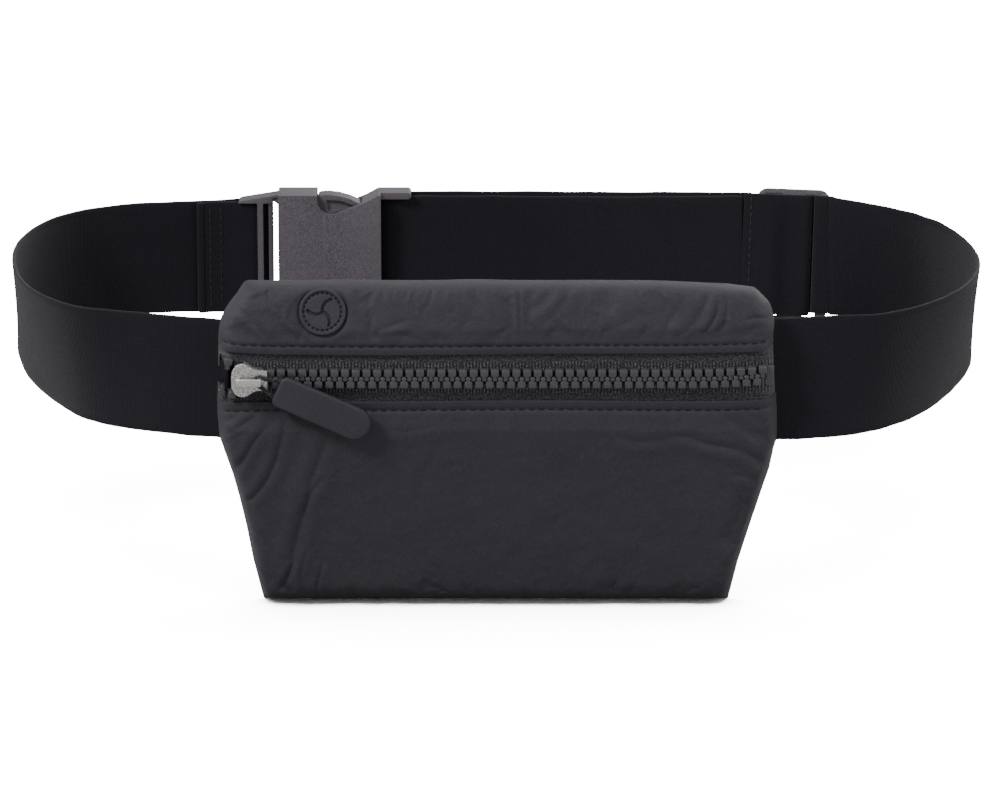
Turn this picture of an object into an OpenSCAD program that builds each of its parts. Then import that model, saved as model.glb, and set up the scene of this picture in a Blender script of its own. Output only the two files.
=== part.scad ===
// Waist pack: a flat zipped pouch carried on a wide elastic belt.
// Millimetres. +X is the wearer's left, +Y runs from the pouch to the small of the back, +Z is up.
// The origin is the middle of the waist opening, at half the belt's width.

/* [Belt] */
// Width of the elastic
belt_w = 50; // [48:0.5:51]
// Thickness of the elastic
belt_t = 1.8; // [1.2:0.1:2]

/* [Pouch] */
// Width of the pouch between its side seams
pouch_w = 233; // [228:1:234]
// Width of the pouch along its bottom seam
bottom_w = 196; // [170:1:215]
// Height of the pouch's folded top edge above belt centre
pouch_top = 42.5; // [40:0.5:50]
// Depth of the bottom seam below belt centre
pouch_drop = 97; // [80:1:110]
// How far the front panel stands off the back panel
pouch_depth = 14; // [12:0.5:15]
// Thickness of one panel of pouch fabric
fabric_t = 1.2; // [0.8:0.1:1.4]

/* [Zip] */
// Height of the zip's centre line above belt centre
zip_z = 4.6; // [3:0.1:6]
// Distance between teeth on one tape
tooth_pitch = 4.45; // [4.2:0.05:5]
// Height of the opening between the flap edge and the zip's centre line
flap_gap = 10.6; // [9:0.1:12]

/* [Pull] */
// Length of the rubber pull tab
tab_len = 42; // [30:1:50]
// Width of the rubber pull tab
tab_w = 14; // [10:0.5:15]
// Angle at which the pull lies below the zip
tab_angle = 24.5; // [0:0.5:60]

/* [Buckle] */
// Height of the buckle, across the belt
buckle_h = 60; // [58:1:64]
// Thickness of the buckle
buckle_t = 15; // [14:0.5:16]

/* [Strap adjuster] */
// Length of the strap adjuster along the belt
glide_l = 33; // [32:0.5:34]
// Height of the strap adjuster across the belt
glide_h = 60; // [59:0.5:64]

/* [Hidden] */
CURVE = 64;         // facets of a round feature
gap = 0.3;          // clearance between pieces that move apart

// Pouch
half_w = pouch_w / 2;
back_y = -100;              // front surface of the back panel
taper_z = -25;              // where the sides start to run in
corner_z = 22;              // where the top corners start
corner_in = 11.5;           // how far the top corners run in
side_power = 36;            // squareness of the pouch's sides in plan
top_power = 60;             // squareness of the top fold
bottom_power = 5;           // how gently the front closes onto the bottom seam
lean_z = 19.5;              // above this the front leans back
lean = 0.32;                // how fast it leans back
lean_angle = atan(lean);
COLUMNS = 15;               // half the grid columns over the pouch's front

// Zip
zip_y = back_y - pouch_depth;       // inner surface of the front panels
tape_t = 0.6;
tape_reach = 7;                     // tape hidden behind each flap
tape_edge = 1.3;                    // tape edge to centre line
tooth_w = 2;
tooth_out = 3.95;                   // tooth heel to centre line
tooth_in = 0.9;                     // tooth head past the centre line
tooth_front = zip_y - 2.9;
tooth_back = zip_y + 1.1;
tooth_count = 51;
first_tooth_x = -111.6;

// Slider
slider_x = -110;                    // its wide end
slider_len = 15;
slider_r = 7.25;                    // half its height at the wide end
slider_tail = 5.4;                  // half its height at the narrow end
slider_wall = 1;
wide_way = 6.3;                     // half the slider's mouth for the parted teeth
narrow_way = tooth_out + 0.4;       // and for the closed chain
plate_front = zip_y - 4.6;
plate_back = zip_y - 3.3;
rear_front = zip_y + 1.9;
rear_back = zip_y + 3.1;
bail_y = plate_front - 2.6;         // underside of the bail's bridge
bail_t = 1.4;
bail_w = 3.3;
bail_r = 0.9;
pull_x = slider_x + 11.7;           // axis of the bail's post, where the pull swivels

// Pull
cord_r = 0.8;
cord_y = plate_front - 1.3;
loop_r = bail_r + gap / 2 + cord_r;
tab_gap = 8;                        // pull's swivel axis to the tab's root
tab_t = 3;
tab_back = plate_front - gap;
root_w = 9;                         // width of the tab at its root

// Earphone port
port_x = -72;
port_z = 32.3;
port_r = 9.75;
port_t = 1.8;
port_hole_r = 5.5;
slit_w = 0.7;
slit_r = 6.2;

// Buckle, placed by its centre height and depth
buckle_y = 91.5;
buckle_z = -2;
mouth_x = -97.6;
half_h = buckle_h / 2;
shell_wall = 2.2;
window_x = -80;                     // where the latch windows start
body_end = -51.6;
frame_end = -38;
frame_wall = 3;
bar_x = -46.2;
bar_y = 96.2;
bar_r = 2.3;
male_t = 8;
male_end = -116.5;
male_bar_x = -106.4;
male_bar_y = 92.9;
male_bar_r = 1.5;
arm_root_x = -97;
arm_root_z = 24.6;
arm_root_r = 2.9;                   // the arm bends about the middle of its round root
arm_t = 8;

// Strap adjuster
glide_x = 133;
glide_y = 90;
glide_z = -1.5;
glide_turn = -8;
glide_tilt = -15.6;
glide_t = 3.2;
glide_bar = 5;
glide_slot = 6;
glide_rail = 2.8;

// Belt routes: the upper and the lower edge of the elastic, as hand-set points
top_z = belt_w / 2;
seam_x = half_w + 0.7;
left_top = [
    [-seam_x, -99.4, top_z], [-150, -90, top_z], [-180, -78, top_z], [-201, -46, top_z],
    [-209, 0, top_z], [-204, 40, 24.6], [-190, 67, 24], [-170, 82, 23.6], [-150, 88, 23.2],
    [-130, 91.4, 23], [-121, 93.2, 23], [-113, 95, 23], [male_bar_x, 95.6, 23],
];
left_bottom = [
    [-seam_x, -101, -top_z], [-147, -92, -top_z], [-175, -74, -top_z], [-196, -34, -top_z],
    [-206, 0, -top_z], [-210, 38, -25.4], [-199, 64, -26], [-181, 79, -26.5], [-160, 86.8, -27],
    [-135, 90.6, -27], [-121, 93, -27], [-113, 95, -27], [male_bar_x, 95.6, -27],
];
SPLIT = 5;                          // route point where the left belt's moving end starts
right_top = [
    [150.4, 91, top_z], [174, 74, top_z], [191, 57, top_z], [203, 30, top_z], [208.5, -5, top_z],
    [204, -38, top_z], [189, -68, top_z], [165, -90, top_z], [140, -95, top_z],
    [seam_x, -99.4, top_z],
];
right_bottom = [
    [150.4, 78, -top_z], [173, 75, -top_z], [193, 63, -top_z], [205, 39, -top_z],
    [207.5, 9, -top_z], [200, -24, -top_z], [184, -62, -top_z], [165, -87, -top_z],
    [142, -100, -top_z], [seam_x, -104, -top_z],
];
outer_y = bar_y + bar_r + gap + belt_t / 2;
inner_y = bar_y - bar_r - gap - belt_t / 2;
outer_top = [[bar_x, outer_y], [0, 100], [50, 98.6], [90, 98.6], [114.6, 97.2]];
outer_bottom = [[bar_x, outer_y], [0, 97], [50, 90.8], [90, 86], [114.6, 83.2]];
inner_top = [[bar_x, inner_y], [0, 95.6], [50, 94.6], [90, 94.8], [110.2, 93.8]];
inner_bottom = [[bar_x, inner_y], [0, 92], [50, 86.6], [90, 82], [110.2, 79.8]];

// Where the elastic threads the adjuster, seen from above in the adjuster's own frame
weave_route = [
    [17, -2.8], [12.3, -2.8], [10.9, -2.5], [10.4, -1.2], [10, 1.6], [8.4, 4], [5.5, 4.8],
    [-5.5, 4.8], [-8.4, 4], [-10, 1.6], [-10.4, -1.2], [-10.9, -2.5], [-12.3, -2.8], [-17, -2.8],
];
loop_route = [
    [-20.8, -6.9], [-10.5, -6.9], [-7, -5.9], [-3.5, -3.7], [0, -2.9], [5.2, -2.8], [7.2, -2],
    [8, 0], [7.2, 2], [5.2, 2.75], [-5.2, 2.75], [-7.2, 1.6], [-8, -1.2], [-8.9, -3.6],
    [-11.2, -4.85], [-20.8, -4.9],
];

// ---- curves and swept shapes ----

function spline_at(p, i, t) =
    let (a = p[max(i - 1, 0)], b = p[i], c = p[i + 1], d = p[min(i + 2, len(p) - 1)])
    0.5 * (2 * b + (c - a) * t + (2 * a - 5 * b + 4 * c - d) * t * t
           + (3 * b - a - 3 * c + d) * t * t * t);

function spline(p, steps) =
    [for (i = [0 : len(p) - 2], k = [0 : steps - 1]) spline_at(p, i, k / steps), p[len(p) - 1]];

function at_height(p, z) = [for (q = p) [q[0], q[1], z]];

function part_of(p, first, last) = [for (i = [first : last]) p[i]];

// Points of an arc about c in a plan view, at height z
function arc(c, r, from, to, steps, z) =
    [for (k = [0 : steps]) let (a = from + (to - from) * k / steps)
        [c[0] + r * cos(a), c[1] + r * sin(a), z]];

// Unit normal of a plan route at point i
function normal_at(p, i) =
    let (d = p[min(i + 1, len(p) - 1)] - p[max(i - 1, 0)], m = norm([d[0], d[1]]))
    [-d[1] / m, d[0] / m];

// A belt of even thickness between an upper and a lower edge route
module ribbon(top, bottom, t) {
    rings = len(top);
    points = [for (i = [0 : rings - 1])
        let (n = normal_at(top, i), m = normal_at(bottom, i), h = t / 2)
        each [top[i] + [n[0], n[1], 0] * h, top[i] - [n[0], n[1], 0] * h,
              bottom[i] - [m[0], m[1], 0] * h, bottom[i] + [m[0], m[1], 0] * h]];
    sides = [for (i = [0 : rings - 2], k = [0 : 3])
        let (a = 4 * i + k, b = 4 * i + (k + 1) % 4)
        each [[a, b, a + 4], [b, b + 4, a + 4]]];
    last = 4 * rings - 4;
    polyhedron(points, concat(sides, [[0, 3, 2], [0, 2, 1]],
        [[last, last + 1, last + 2], [last, last + 2, last + 3]]));
}

// A strip of even thickness along a plan route, stood upright
module strip(route, t, low, high) {
    h = t / 2;
    near = [for (i = [0 : len(route) - 1]) route[i] + h * normal_at(route, i)];
    far = [for (i = [len(route) - 1 : -1 : 0]) route[i] - h * normal_at(route, i)];
    translate([0, 0, low]) linear_extrude(high - low) polygon(concat(near, far));
}

// A flat outline drawn in X and Z, given thickness along Y
module slab(near, far) {
    translate([0, far, 0]) rotate([90, 0, 0]) linear_extrude(far - near) children();
}

module block(low, high) {
    translate(low) cube(high - low);
}

module mirrored_z(z) {
    children();
    translate([0, 0, 2 * z]) mirror([0, 0, 1]) children();
}

// ---- pouch ----

// Half the pouch's width at height z
function width_at(z) =
    z < taper_z ? half_w - (half_w - bottom_w / 2) * (taper_z - z) / (pouch_drop + taper_z)
    : z > corner_z ? half_w - corner_in * pow((z - corner_z) / (pouch_top - corner_z), 2)
    : half_w;

// How far the front stands off the back panel: u runs from -1 to 1 across the pouch
function depth_at(u, z) =
    let (across = 1 - pow(abs(u), side_power))
    z > zip_z
    ? across * (pouch_depth - lean * max(0, z - lean_z))
      * (1 - pow((z - zip_z) / (pouch_top - zip_z), top_power))
    : across * pouch_depth * (1 - pow((zip_z - z) / (pouch_drop + zip_z), bottom_power));

// A skin over the pouch's front between two heights, its inner face lift behind the front panel's
module front_skin(heights, t, lift) {
    us = [for (k = [-COLUMNS : COLUMNS]) sin(90 * k / COLUMNS)];
    w = len(us);
    rows = len(heights);
    skin = w * rows;
    function shape(y) = [for (z = heights, u = us)
        [u * width_at(z), back_y - depth_at(u, z) + y, z]];
    points = concat(shape(lift), shape(lift - t));
    faces = [for (r = [0 : rows - 2], c = [0 : w - 2]) let (a = r * w + c)
        each [[a, a + w, a + 1], [a + 1, a + w, a + w + 1],
              [a + skin, a + 1 + skin, a + w + skin],
              [a + 1 + skin, a + w + 1 + skin, a + w + skin]]];
    end = (rows - 1) * w;
    low_high = [for (c = [0 : w - 2]) each [
        [c, c + 1, c + skin], [c + 1, c + 1 + skin, c + skin],
        [end + c, end + c + skin, end + c + 1],
        [end + c + 1, end + c + skin, end + c + 1 + skin]]];
    left_right = [for (r = [0 : rows - 2]) let (a = r * w, b = r * w + w - 1) each [
        [a, a + skin, a + w], [a + w, a + skin, a + w + skin],
        [b, b + w, b + skin], [b + w, b + w + skin, b + skin]]];
    polyhedron(points, concat(faces, low_high, left_right));
}

// Heights from low to high, closer together towards the end that bends
function heights_up(low, high, n) = [for (k = [0 : n]) low + (high - low) * sin(90 * k / n)];
function heights_down(low, high, n) = [for (k = [0 : n]) high - (high - low) * cos(90 * k / n)];

// The pouch's outline, drawn smaller by inset
module pouch_outline(inset) {
    zs = [-pouch_drop + inset, taper_z, corner_z,
          for (k = [1 : 6]) corner_z + (pouch_top - inset - corner_z) * k / 6];
    polygon(concat([for (z = zs) [width_at(z) - inset, z]],
                   [for (i = [len(zs) - 1 : -1 : 0]) [inset - width_at(zs[i]), zs[i]]]));
}

module back_panel() {
    color("dimgray") slab(back_y, back_y + fabric_t) pouch_outline(0);
}

module front_panel_lower() {
    color("dimgray")
        front_skin(heights_down(-pouch_drop, zip_z - flap_gap, 14), fabric_t, 0);
}

module front_panel_upper() {
    seat = back_y - depth_at(0, port_z);
    color("dimgray") difference() {
        front_skin(heights_up(zip_z + flap_gap, pouch_top, 14), fabric_t, 0);
        translate([port_x, seat, port_z]) rotate([90 - lean_angle, 0, 0])
            cylinder(h = 12, r = port_hole_r, center = true, $fn = CURVE);
    }
}

// The bound seam allowance inside the pouch
module seam_binding(low, high, from, to) {
    color("black") slab(back_y - fabric_t + 0.1, back_y) intersection() {
        difference() {
            pouch_outline(2.4);
            pouch_outline(6);
        }
        translate([from, low]) square([to - from, high - low]);
    }
}

module seam_binding_left() { seam_binding(-pouch_drop + 6, corner_z, -half_w, 0); }
module seam_binding_right() { seam_binding(-pouch_drop + 6, corner_z, 0, half_w); }
module seam_binding_bottom() { seam_binding(-pouch_drop, -pouch_drop + 5.8, -half_w, half_w); }

// ---- zip ----

module zip_tape_upper() {
    low = zip_z + tape_edge;
    high = zip_z + flap_gap + tape_reach;
    color("black") front_skin([low, (low + high) / 2, high], tape_t, tape_t + 0.1);
}

module zip_tape_lower() {
    high = zip_z - tape_edge;
    low = zip_z - flap_gap - tape_reach;
    color("black") front_skin([low, (low + high) / 2, high], tape_t, tape_t + 0.1);
}

// How far a tooth stands off the closed chain: the rows part inside and behind the slider
function parting(x) =
    x > slider_x + slider_len ? 0
    : x > slider_x + 2 ? 2.1 * (slider_x + slider_len - x) / (slider_len - 2)
    : 4.6;

module teeth(stagger) {
    for (i = [0 : tooth_count - 1]) {
        x = first_tooth_x + stagger + i * tooth_pitch;
        set_back = pouch_depth - depth_at(x / half_w, zip_z);
        z = zip_z + parting(x) - tooth_in;
        block([x - tooth_w / 2, tooth_front + set_back, z],
              [x + tooth_w / 2, tooth_back + set_back, z + tooth_in + tooth_out]);
    }
}

module zip_teeth_upper() {
    color("black") teeth(0);
}

module zip_teeth_lower() {
    color("black") translate([0, 0, 2 * zip_z]) mirror([0, 0, 1]) teeth(-tooth_pitch / 2);
}

module zip_top_stops() {
    set_back = pouch_depth - depth_at(0.978, zip_z);
    color("black") mirrored_z(zip_z)
        block([-115.6, tooth_front + set_back, zip_z + 4], [-115, tooth_back + set_back, zip_z + 8.4]);
}

module zip_bottom_stop() {
    set_back = pouch_depth - depth_at(0.972, zip_z);
    color("black") block([111.9, tooth_front + set_back, zip_z - 4.4],
                         [115.9, tooth_back + set_back, zip_z + 4.4]);
}

// ---- slider and pull ----

// Outline of the slider: a round wide end and a narrower squared end
module slider_outline(inset) {
    r = slider_r - inset;
    intersection() {
        union() {
            translate([slider_x + slider_r, zip_z]) circle(r, $fn = CURVE);
            polygon([[slider_x + slider_r, zip_z - r], [slider_x + slider_r, zip_z + r],
                     [slider_x + slider_len - inset, zip_z + slider_tail - inset],
                     [slider_x + slider_len - inset, zip_z - slider_tail + inset]]);
        }
        translate([slider_x, zip_z - slider_r])
            square([slider_len, 2 * slider_r]);
    }
}

module slider_body() {
    color("silver") {
        slab(plate_front, plate_back) slider_outline(0);
        slab(plate_back, zip_y - 0.4) difference() {
            slider_outline(0);
            slider_outline(slider_wall);
            translate([slider_x - 1, zip_z - wide_way]) square([6, 2 * wide_way]);
            translate([slider_x + slider_len - 2, zip_z - narrow_way]) square([3, 2 * narrow_way]);
        }
        block([slider_x + 2.2, plate_back, zip_z - 0.8], [slider_x + 4, rear_front, zip_z + 0.8]);
        slab(rear_front, rear_back) intersection() {
            slider_outline(0.6);
            translate([slider_x + 3.4, zip_z - slider_r]) square([slider_len - 4, 2 * slider_r]);
        }
    }
}

module slider_bail() {
    left = slider_x + 1.8;
    color("silver") {
        translate([pull_x, plate_front, zip_z]) rotate([90, 0, 0])
            cylinder(h = plate_front - bail_y, r = bail_r, $fn = CURVE);
        block([left, bail_y, zip_z - bail_w / 2], [left + 2, plate_front, zip_z + bail_w / 2]);
        block([left, bail_y - bail_t, zip_z - bail_w / 2],
              [pull_x + bail_r, bail_y, zip_z + bail_w / 2]);
    }
}

// Places a shape drawn along +X from the swivel axis, in the pull's direction
module along_pull(y) {
    translate([pull_x, y, zip_z]) rotate([0, tab_angle, 0]) children();
}

module pull_cord() {
    straight = tab_gap - gap;
    color("black") along_pull(cord_y) {
        rotate([90, 90, 0]) rotate_extrude(angle = 180, $fn = CURVE)
            translate([loop_r, 0]) circle(cord_r, $fn = 24);
        for (side = [-1, 1])
            translate([0, 0, side * loop_r]) rotate([0, 90, 0])
                cylinder(h = straight, r = cord_r, $fn = 24);
    }
}

module pull_tab() {
    end_r = tab_w / 2;
    end_x = tab_gap + tab_len - end_r;
    color("dimgray") along_pull(tab_back) slab(-tab_t, 0)
        polygon(concat([[tab_gap, -root_w / 2], [tab_gap + 4, -end_r]],
                       [for (k = [-12 : 12]) [end_x + end_r * cos(7.5 * k), end_r * sin(7.5 * k)]],
                       [[tab_gap + 4, end_r], [tab_gap, root_w / 2]]));
}

// ---- earphone port ----

// Stands a shape drawn flat in X and Y on the leaning front, facing out
module on_front(x, z, lift) {
    translate([x, back_y - depth_at(0, z) - lift, z])
        rotate([90 - lean_angle, 0, 0]) children();
}

// One curved slit, turning clockwise on its way out from the centre
module slit() {
    bow = slit_r / 2;
    bend = bow * sqrt(2);
    intersection() {
        translate([bow, -bow]) difference() {
            circle(bend + slit_w / 2, $fn = CURVE);
            circle(bend - slit_w / 2, $fn = CURVE);
        }
        polygon([[bow, -bow], [-slit_w, slit_w], [bow, 2 * bow], [slit_r + slit_w, slit_w]]);
    }
}

module earphone_port() {
    color("dimgray") on_front(port_x, port_z, fabric_t * 1.06) difference() {
        cylinder(h = port_t, r = port_r, $fn = CURVE);
        translate([0, 0, port_t - 0.5]) difference() {
            cylinder(h = 1, r = port_r - 1.2, $fn = CURVE);
            translate([0, 0, -1]) cylinder(h = 3, r = port_r - 2, $fn = CURVE);
        }
        translate([0, 0, -0.5]) linear_extrude(port_t + 1) for (turn = [55, 175, 295])
            rotate(turn) slit();
        translate([0, 0, -0.5]) cylinder(h = port_t + 1, r = slit_w, $fn = CURVE);
    }
}

module port_backing() {
    color("black") on_front(port_x, port_z, -1.3) difference() {
        cylinder(h = 0.8, r = port_r - 2.2, $fn = CURVE);
        translate([0, 0, -1]) cylinder(h = 3, r = port_hole_r, $fn = CURVE);
    }
}

// ---- belt ----

STEPS = 5;                          // rings between two points of a route

module belt_left() {
    color("black") ribbon(spline(part_of(left_top, 0, SPLIT), STEPS),
                          spline(part_of(left_bottom, 0, SPLIT), STEPS), belt_t);
}

// The left belt's end: round the buckle's bar and back on itself, where it is sewn down
module belt_left_hem() {
    last = len(left_top) - 1;
    centre = [male_bar_x, male_bar_y];
    r = male_bar_r + gap + belt_t / 2;
    function tail(z) = spline([[male_bar_x, male_bar_y - r, z], [-113, 89.9, z], [-121, 90.2, z],
                               [-127, 89.6, z], [-133, 88.5, z]], STEPS);
    function route(p, z) = concat(spline(part_of(p, SPLIT, last), STEPS),
                                  part_of(arc(centre, r, 90, -90, 10, z), 1, 9), tail(z));
    color("black") ribbon(route(left_top, 23), route(left_bottom, -27), belt_t);
}

module belt_right() {
    color("black") ribbon(spline(right_top, STEPS), spline(right_bottom, STEPS), belt_t);
}

module belt_outer_layer() {
    color("black") ribbon(spline(at_height(outer_top, top_z), STEPS),
                          spline(at_height(outer_bottom, -top_z), STEPS), belt_t);
}

module belt_inner_layer() {
    function turn(z) = part_of(arc([bar_x, bar_y], outer_y - bar_y, 90, 270, 12, z), 0, 11);
    color("black") ribbon(concat(turn(top_z), spline(at_height(inner_top, top_z), STEPS)),
                          concat(turn(-top_z), spline(at_height(inner_bottom, -top_z), STEPS)), belt_t);
}

// Stands a shape in the adjuster's own frame
module on_glide() {
    translate([glide_x, glide_y, glide_z]) rotate([0, 0, glide_turn]) rotate([glide_tilt, 0, 0])
        children();
}

module belt_weave() {
    color("black") on_glide() strip(spline(weave_route, 3), belt_t, -top_z - glide_z, top_z - glide_z);
}

module belt_end_loop() {
    color("black") on_glide() strip(spline(loop_route, 3), belt_t, -top_z - glide_z, top_z - glide_z);
}

module strap_adjuster() {
    r = 5;
    slot_h = glide_h - 2 * glide_rail;
    color("gray") on_glide() slab(-glide_t / 2, glide_t / 2) difference() {
        union() {
            square([glide_l - 2 * r, glide_h], center = true);
            square([glide_l, glide_h - 2 * r], center = true);
            for (x = [-1, 1], z = [-1, 1])
                translate([x * (glide_l / 2 - r), z * (glide_h / 2 - r)]) circle(r, $fn = CURVE);
        }
        for (side = [-1, 1])
            translate([side * (glide_l / 2 - glide_bar - glide_slot / 2), 0])
                square([glide_slot, slot_h], center = true);
    }
}

// ---- buckle ----

// Upper half of the female half's face: full height at the mouth, cut away round the latch
module female_half() {
    difference() {
        translate([mouth_x, 0]) square([body_end - mouth_x, half_h]);
        translate([window_x + 6.5, half_h - 2.4]) circle(6.5, $fn = CURVE);
        polygon([[window_x, half_h - 3], [window_x, half_h + 1], [body_end + 0.6, half_h + 1],
                 [body_end - 7.1, half_h - 3.3], [window_x + 9, half_h - 8.2]]);
    }
}

module both_halves() {
    children();
    mirror([0, 1]) children();
}

module at_buckle() {
    translate([0, buckle_y, buckle_z]) children();
}

module buckle_female() {
    t = buckle_t / 2;
    slot_half = half_h - frame_wall;
    color("gray") {
        at_buckle() {
            difference() {
                slab(-t, t) both_halves() female_half();
                block([mouth_x - 1, shell_wall - t, shell_wall - half_h],
                      [body_end - 8.5, t - shell_wall, half_h - shell_wall]);
                block([mouth_x, shell_wall - t, 4.8 - half_h],
                      [body_end - 2.4, t - shell_wall, half_h - 4.8]);
            }
            for (side = [-1, 1])
                slab(-2.5, t) hull() {
                    translate([body_end - 0.5, side > 0 ? slot_half : -half_h])
                        square([1, frame_wall]);
                    translate([frame_end - frame_wall / 2, side * (half_h - frame_wall / 2)])
                        circle(frame_wall / 2, $fn = 24);
                }
        }
        translate([bar_x, bar_y, buckle_z - slot_half - 0.5])
            cylinder(h = 2 * slot_half + 1, r = bar_r, $fn = CURVE);
    }
}

module buckle_male() {
    t = male_t / 2;
    inner = 25.4;
    front = -100;
    over_arm = arm_root_z + arm_root_r + gap;
    color("gray") {
        at_buckle() {
            slab(-t, t) both_halves() polygon([
                [male_end + 1, inner], [male_end + 1.5, inner + 0.8], [male_end + 3, inner + 1.4],
                [mouth_x - gap, half_h - 0.6], [mouth_x - gap, over_arm], [front, over_arm],
                [front, inner]]);
            block([-107, -t, -inner - 0.5], [-104.4, 1.5 - t, inner + 0.5]);
            block([front - 2, -t + 1, -inner - 0.5], [front, t - 1, inner + 0.5]);
        }
        translate([male_bar_x, male_bar_y, buckle_z - inner - 0.6])
            cylinder(h = 2 * inner + 1.2, r = male_bar_r, $fn = CURVE);
    }
}

// A springy arm from the male half's root to the thumb pad that stands in the window
module latch_arm() {
    step = window_x + gap + 0.1;
    translate([0, buckle_y, 0]) difference() {
        slab(-arm_t / 2, arm_t / 2)
            polygon(concat(
                [for (k = [13 : -1 : 0]) let (a = 50 + 20 * k)
                    [arm_root_x + arm_root_r * cos(a), arm_root_z + arm_root_r * sin(a)]],
                [[step, 27.2], [step, 28.6], [step + 1, 29.2], [step + 4, 29.5],
                 [step + 9, 29], [step + 14, 27.6], [step + 18, 25.7], [step + 21, 23.6],
                 [step + 20.6, 21.2], [step + 16, 19.8], [step + 7, 19.4], [step, 21.4]]));
        slab(-arm_t / 2 - 1, 1.4 - arm_t / 2) polygon([
            [step + 3.4, 22.6], [step + 2.6, 26.8], [step + 8, 27], [step + 15.4, 24.4]]);
    }
}

module latch_arm_upper() {
    color("gray") translate([0, 0, buckle_z]) latch_arm();
}

module latch_arm_lower() {
    color("gray") translate([0, 0, buckle_z]) mirror([0, 0, 1]) latch_arm();
}

back_panel();
front_panel_lower();
front_panel_upper();
seam_binding_left();
seam_binding_right();
seam_binding_bottom();
zip_tape_upper();
zip_tape_lower();
zip_teeth_upper();
zip_teeth_lower();
zip_top_stops();
zip_bottom_stop();
slider_body();
slider_bail();
pull_cord();
pull_tab();
earphone_port();
port_backing();
belt_left();
belt_left_hem();
belt_right();
belt_outer_layer();
belt_inner_layer();
belt_weave();
belt_end_loop();
buckle_female();
buckle_male();
latch_arm_upper();
latch_arm_lower();
strap_adjuster();
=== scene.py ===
"""A waist pack: a zipped pouch of crinkled nylon on a wide elastic belt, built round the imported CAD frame.

Lengths in this script are millimetres until a mesh is made; Blender and the frame use metres.
"""
import math

import bmesh
import bpy
import numpy as np
from mathutils import Matrix, Vector, noise
from mathutils.bvhtree import BVHTree


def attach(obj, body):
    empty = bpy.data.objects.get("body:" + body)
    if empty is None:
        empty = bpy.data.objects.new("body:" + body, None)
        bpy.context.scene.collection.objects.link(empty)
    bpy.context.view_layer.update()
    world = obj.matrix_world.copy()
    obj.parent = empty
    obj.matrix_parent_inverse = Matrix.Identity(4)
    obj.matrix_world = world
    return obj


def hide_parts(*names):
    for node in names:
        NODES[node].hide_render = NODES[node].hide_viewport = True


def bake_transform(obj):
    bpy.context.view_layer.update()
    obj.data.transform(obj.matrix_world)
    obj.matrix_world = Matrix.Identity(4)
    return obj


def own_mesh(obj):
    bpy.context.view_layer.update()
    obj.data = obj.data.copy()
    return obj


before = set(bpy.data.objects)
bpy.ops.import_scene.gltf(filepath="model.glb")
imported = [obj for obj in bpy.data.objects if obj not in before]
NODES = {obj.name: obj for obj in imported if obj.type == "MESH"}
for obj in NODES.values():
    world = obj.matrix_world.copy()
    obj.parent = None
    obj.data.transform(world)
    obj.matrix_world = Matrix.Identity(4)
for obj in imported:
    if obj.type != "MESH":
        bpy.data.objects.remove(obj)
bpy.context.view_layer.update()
MM = 0.001
RNG = np.random.default_rng(7)

# ---- sizes that repeat part.scad's ----
HALF_W, BOTTOM_W, TOP_Z, BOTTOM_Z = 116.5, 196.0, 42.5, -97.0
BACK_Y, DEPTH, PANEL_T = -100.0, 14.0, 1.2
TAPER_Z, CORNER_Z, CORNER_IN = -25.0, 22.0, 11.5
LEAN_Z, LEAN = 19.5, 0.32
LEAN_ANGLE = math.atan(LEAN)
ZIP_Z, FLAP_GAP, PITCH = 4.6, 10.6, 4.45
ZIP_Y = BACK_Y - DEPTH
TEETH, FIRST_TOOTH_X = 51, -111.6
TOOTH_FRONT, TOOTH_BACK = ZIP_Y - 2.9, ZIP_Y + 1.1
SLIDER_X, SLIDER_LEN = -110.0, 15.0
PLATE_FRONT, PLATE_BACK = ZIP_Y - 4.6, ZIP_Y - 3.3
REAR_FRONT, REAR_BACK = ZIP_Y + 1.9, ZIP_Y + 3.1
PULL_X = SLIDER_X + 11.7
CORD_Y = PLATE_FRONT - 1.3
TAB_GAP, TAB_LEN, TAB_W, TAB_T, TAB_ANGLE = 8.0, 42.0, 14.0, 3.0, math.radians(24.5)
TAB_BACK, TAB_CORNER = PLATE_FRONT - 0.3, 2.8
PORT_X, PORT_Z, PORT_R, PORT_T = -72.0, 32.3, 9.75, 1.8
BELT_T, BELT_HALF = 1.8, 25.0
UPPER_STITCH_Z, LOWER_STITCH_Z = 18.5, -9.6
UPPER_FLAP_Z, LOWER_FLAP_Z = ZIP_Z + FLAP_GAP, ZIP_Z - FLAP_GAP
MALE_BAR, MALE_BAR_R = (-106.4, 92.9), 2.7
FEMALE_BAR, FEMALE_BAR_R = (-46.2, 96.2), 3.5
# Both reaches exceed 1, so the turns are drawn out into the slots beside the bars: dark elastic put where those slots
# show shade.
MALE_REACH, FEMALE_REACH = 1.27, 1.55       # how far the elastic's turns stand off the bars along X, in bar radii


# ---- camera, light and floor ----
def make_camera():
    target, distance, height = Vector((-0.8, -123.5, 0)) * MM, 2.4, math.radians(17.5)
    data = bpy.data.cameras.new("camera")
    data.sensor_width, data.lens = 36, 210.8
    data.clip_start, data.clip_end = 0.1, 30
    camera = bpy.data.objects.new("camera", data)
    back = Vector((0, -math.cos(height), math.sin(height)))
    camera.location = target + distance * back
    camera.rotation_euler = (-back).to_track_quat("-Z", "Y").to_euler()
    bpy.context.collection.objects.link(camera)
    bpy.context.scene.camera = camera


def area_light(name, place, aim, size, watts):
    data = bpy.data.lights.new(name, "AREA")
    data.shape, data.size, data.energy = "DISK", size, watts
    light = bpy.data.objects.new(name, data)
    light.location = place
    light.rotation_euler = (Vector(aim) - Vector(place)).to_track_quat("-Z", "Y").to_euler()
    bpy.context.collection.objects.link(light)


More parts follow.
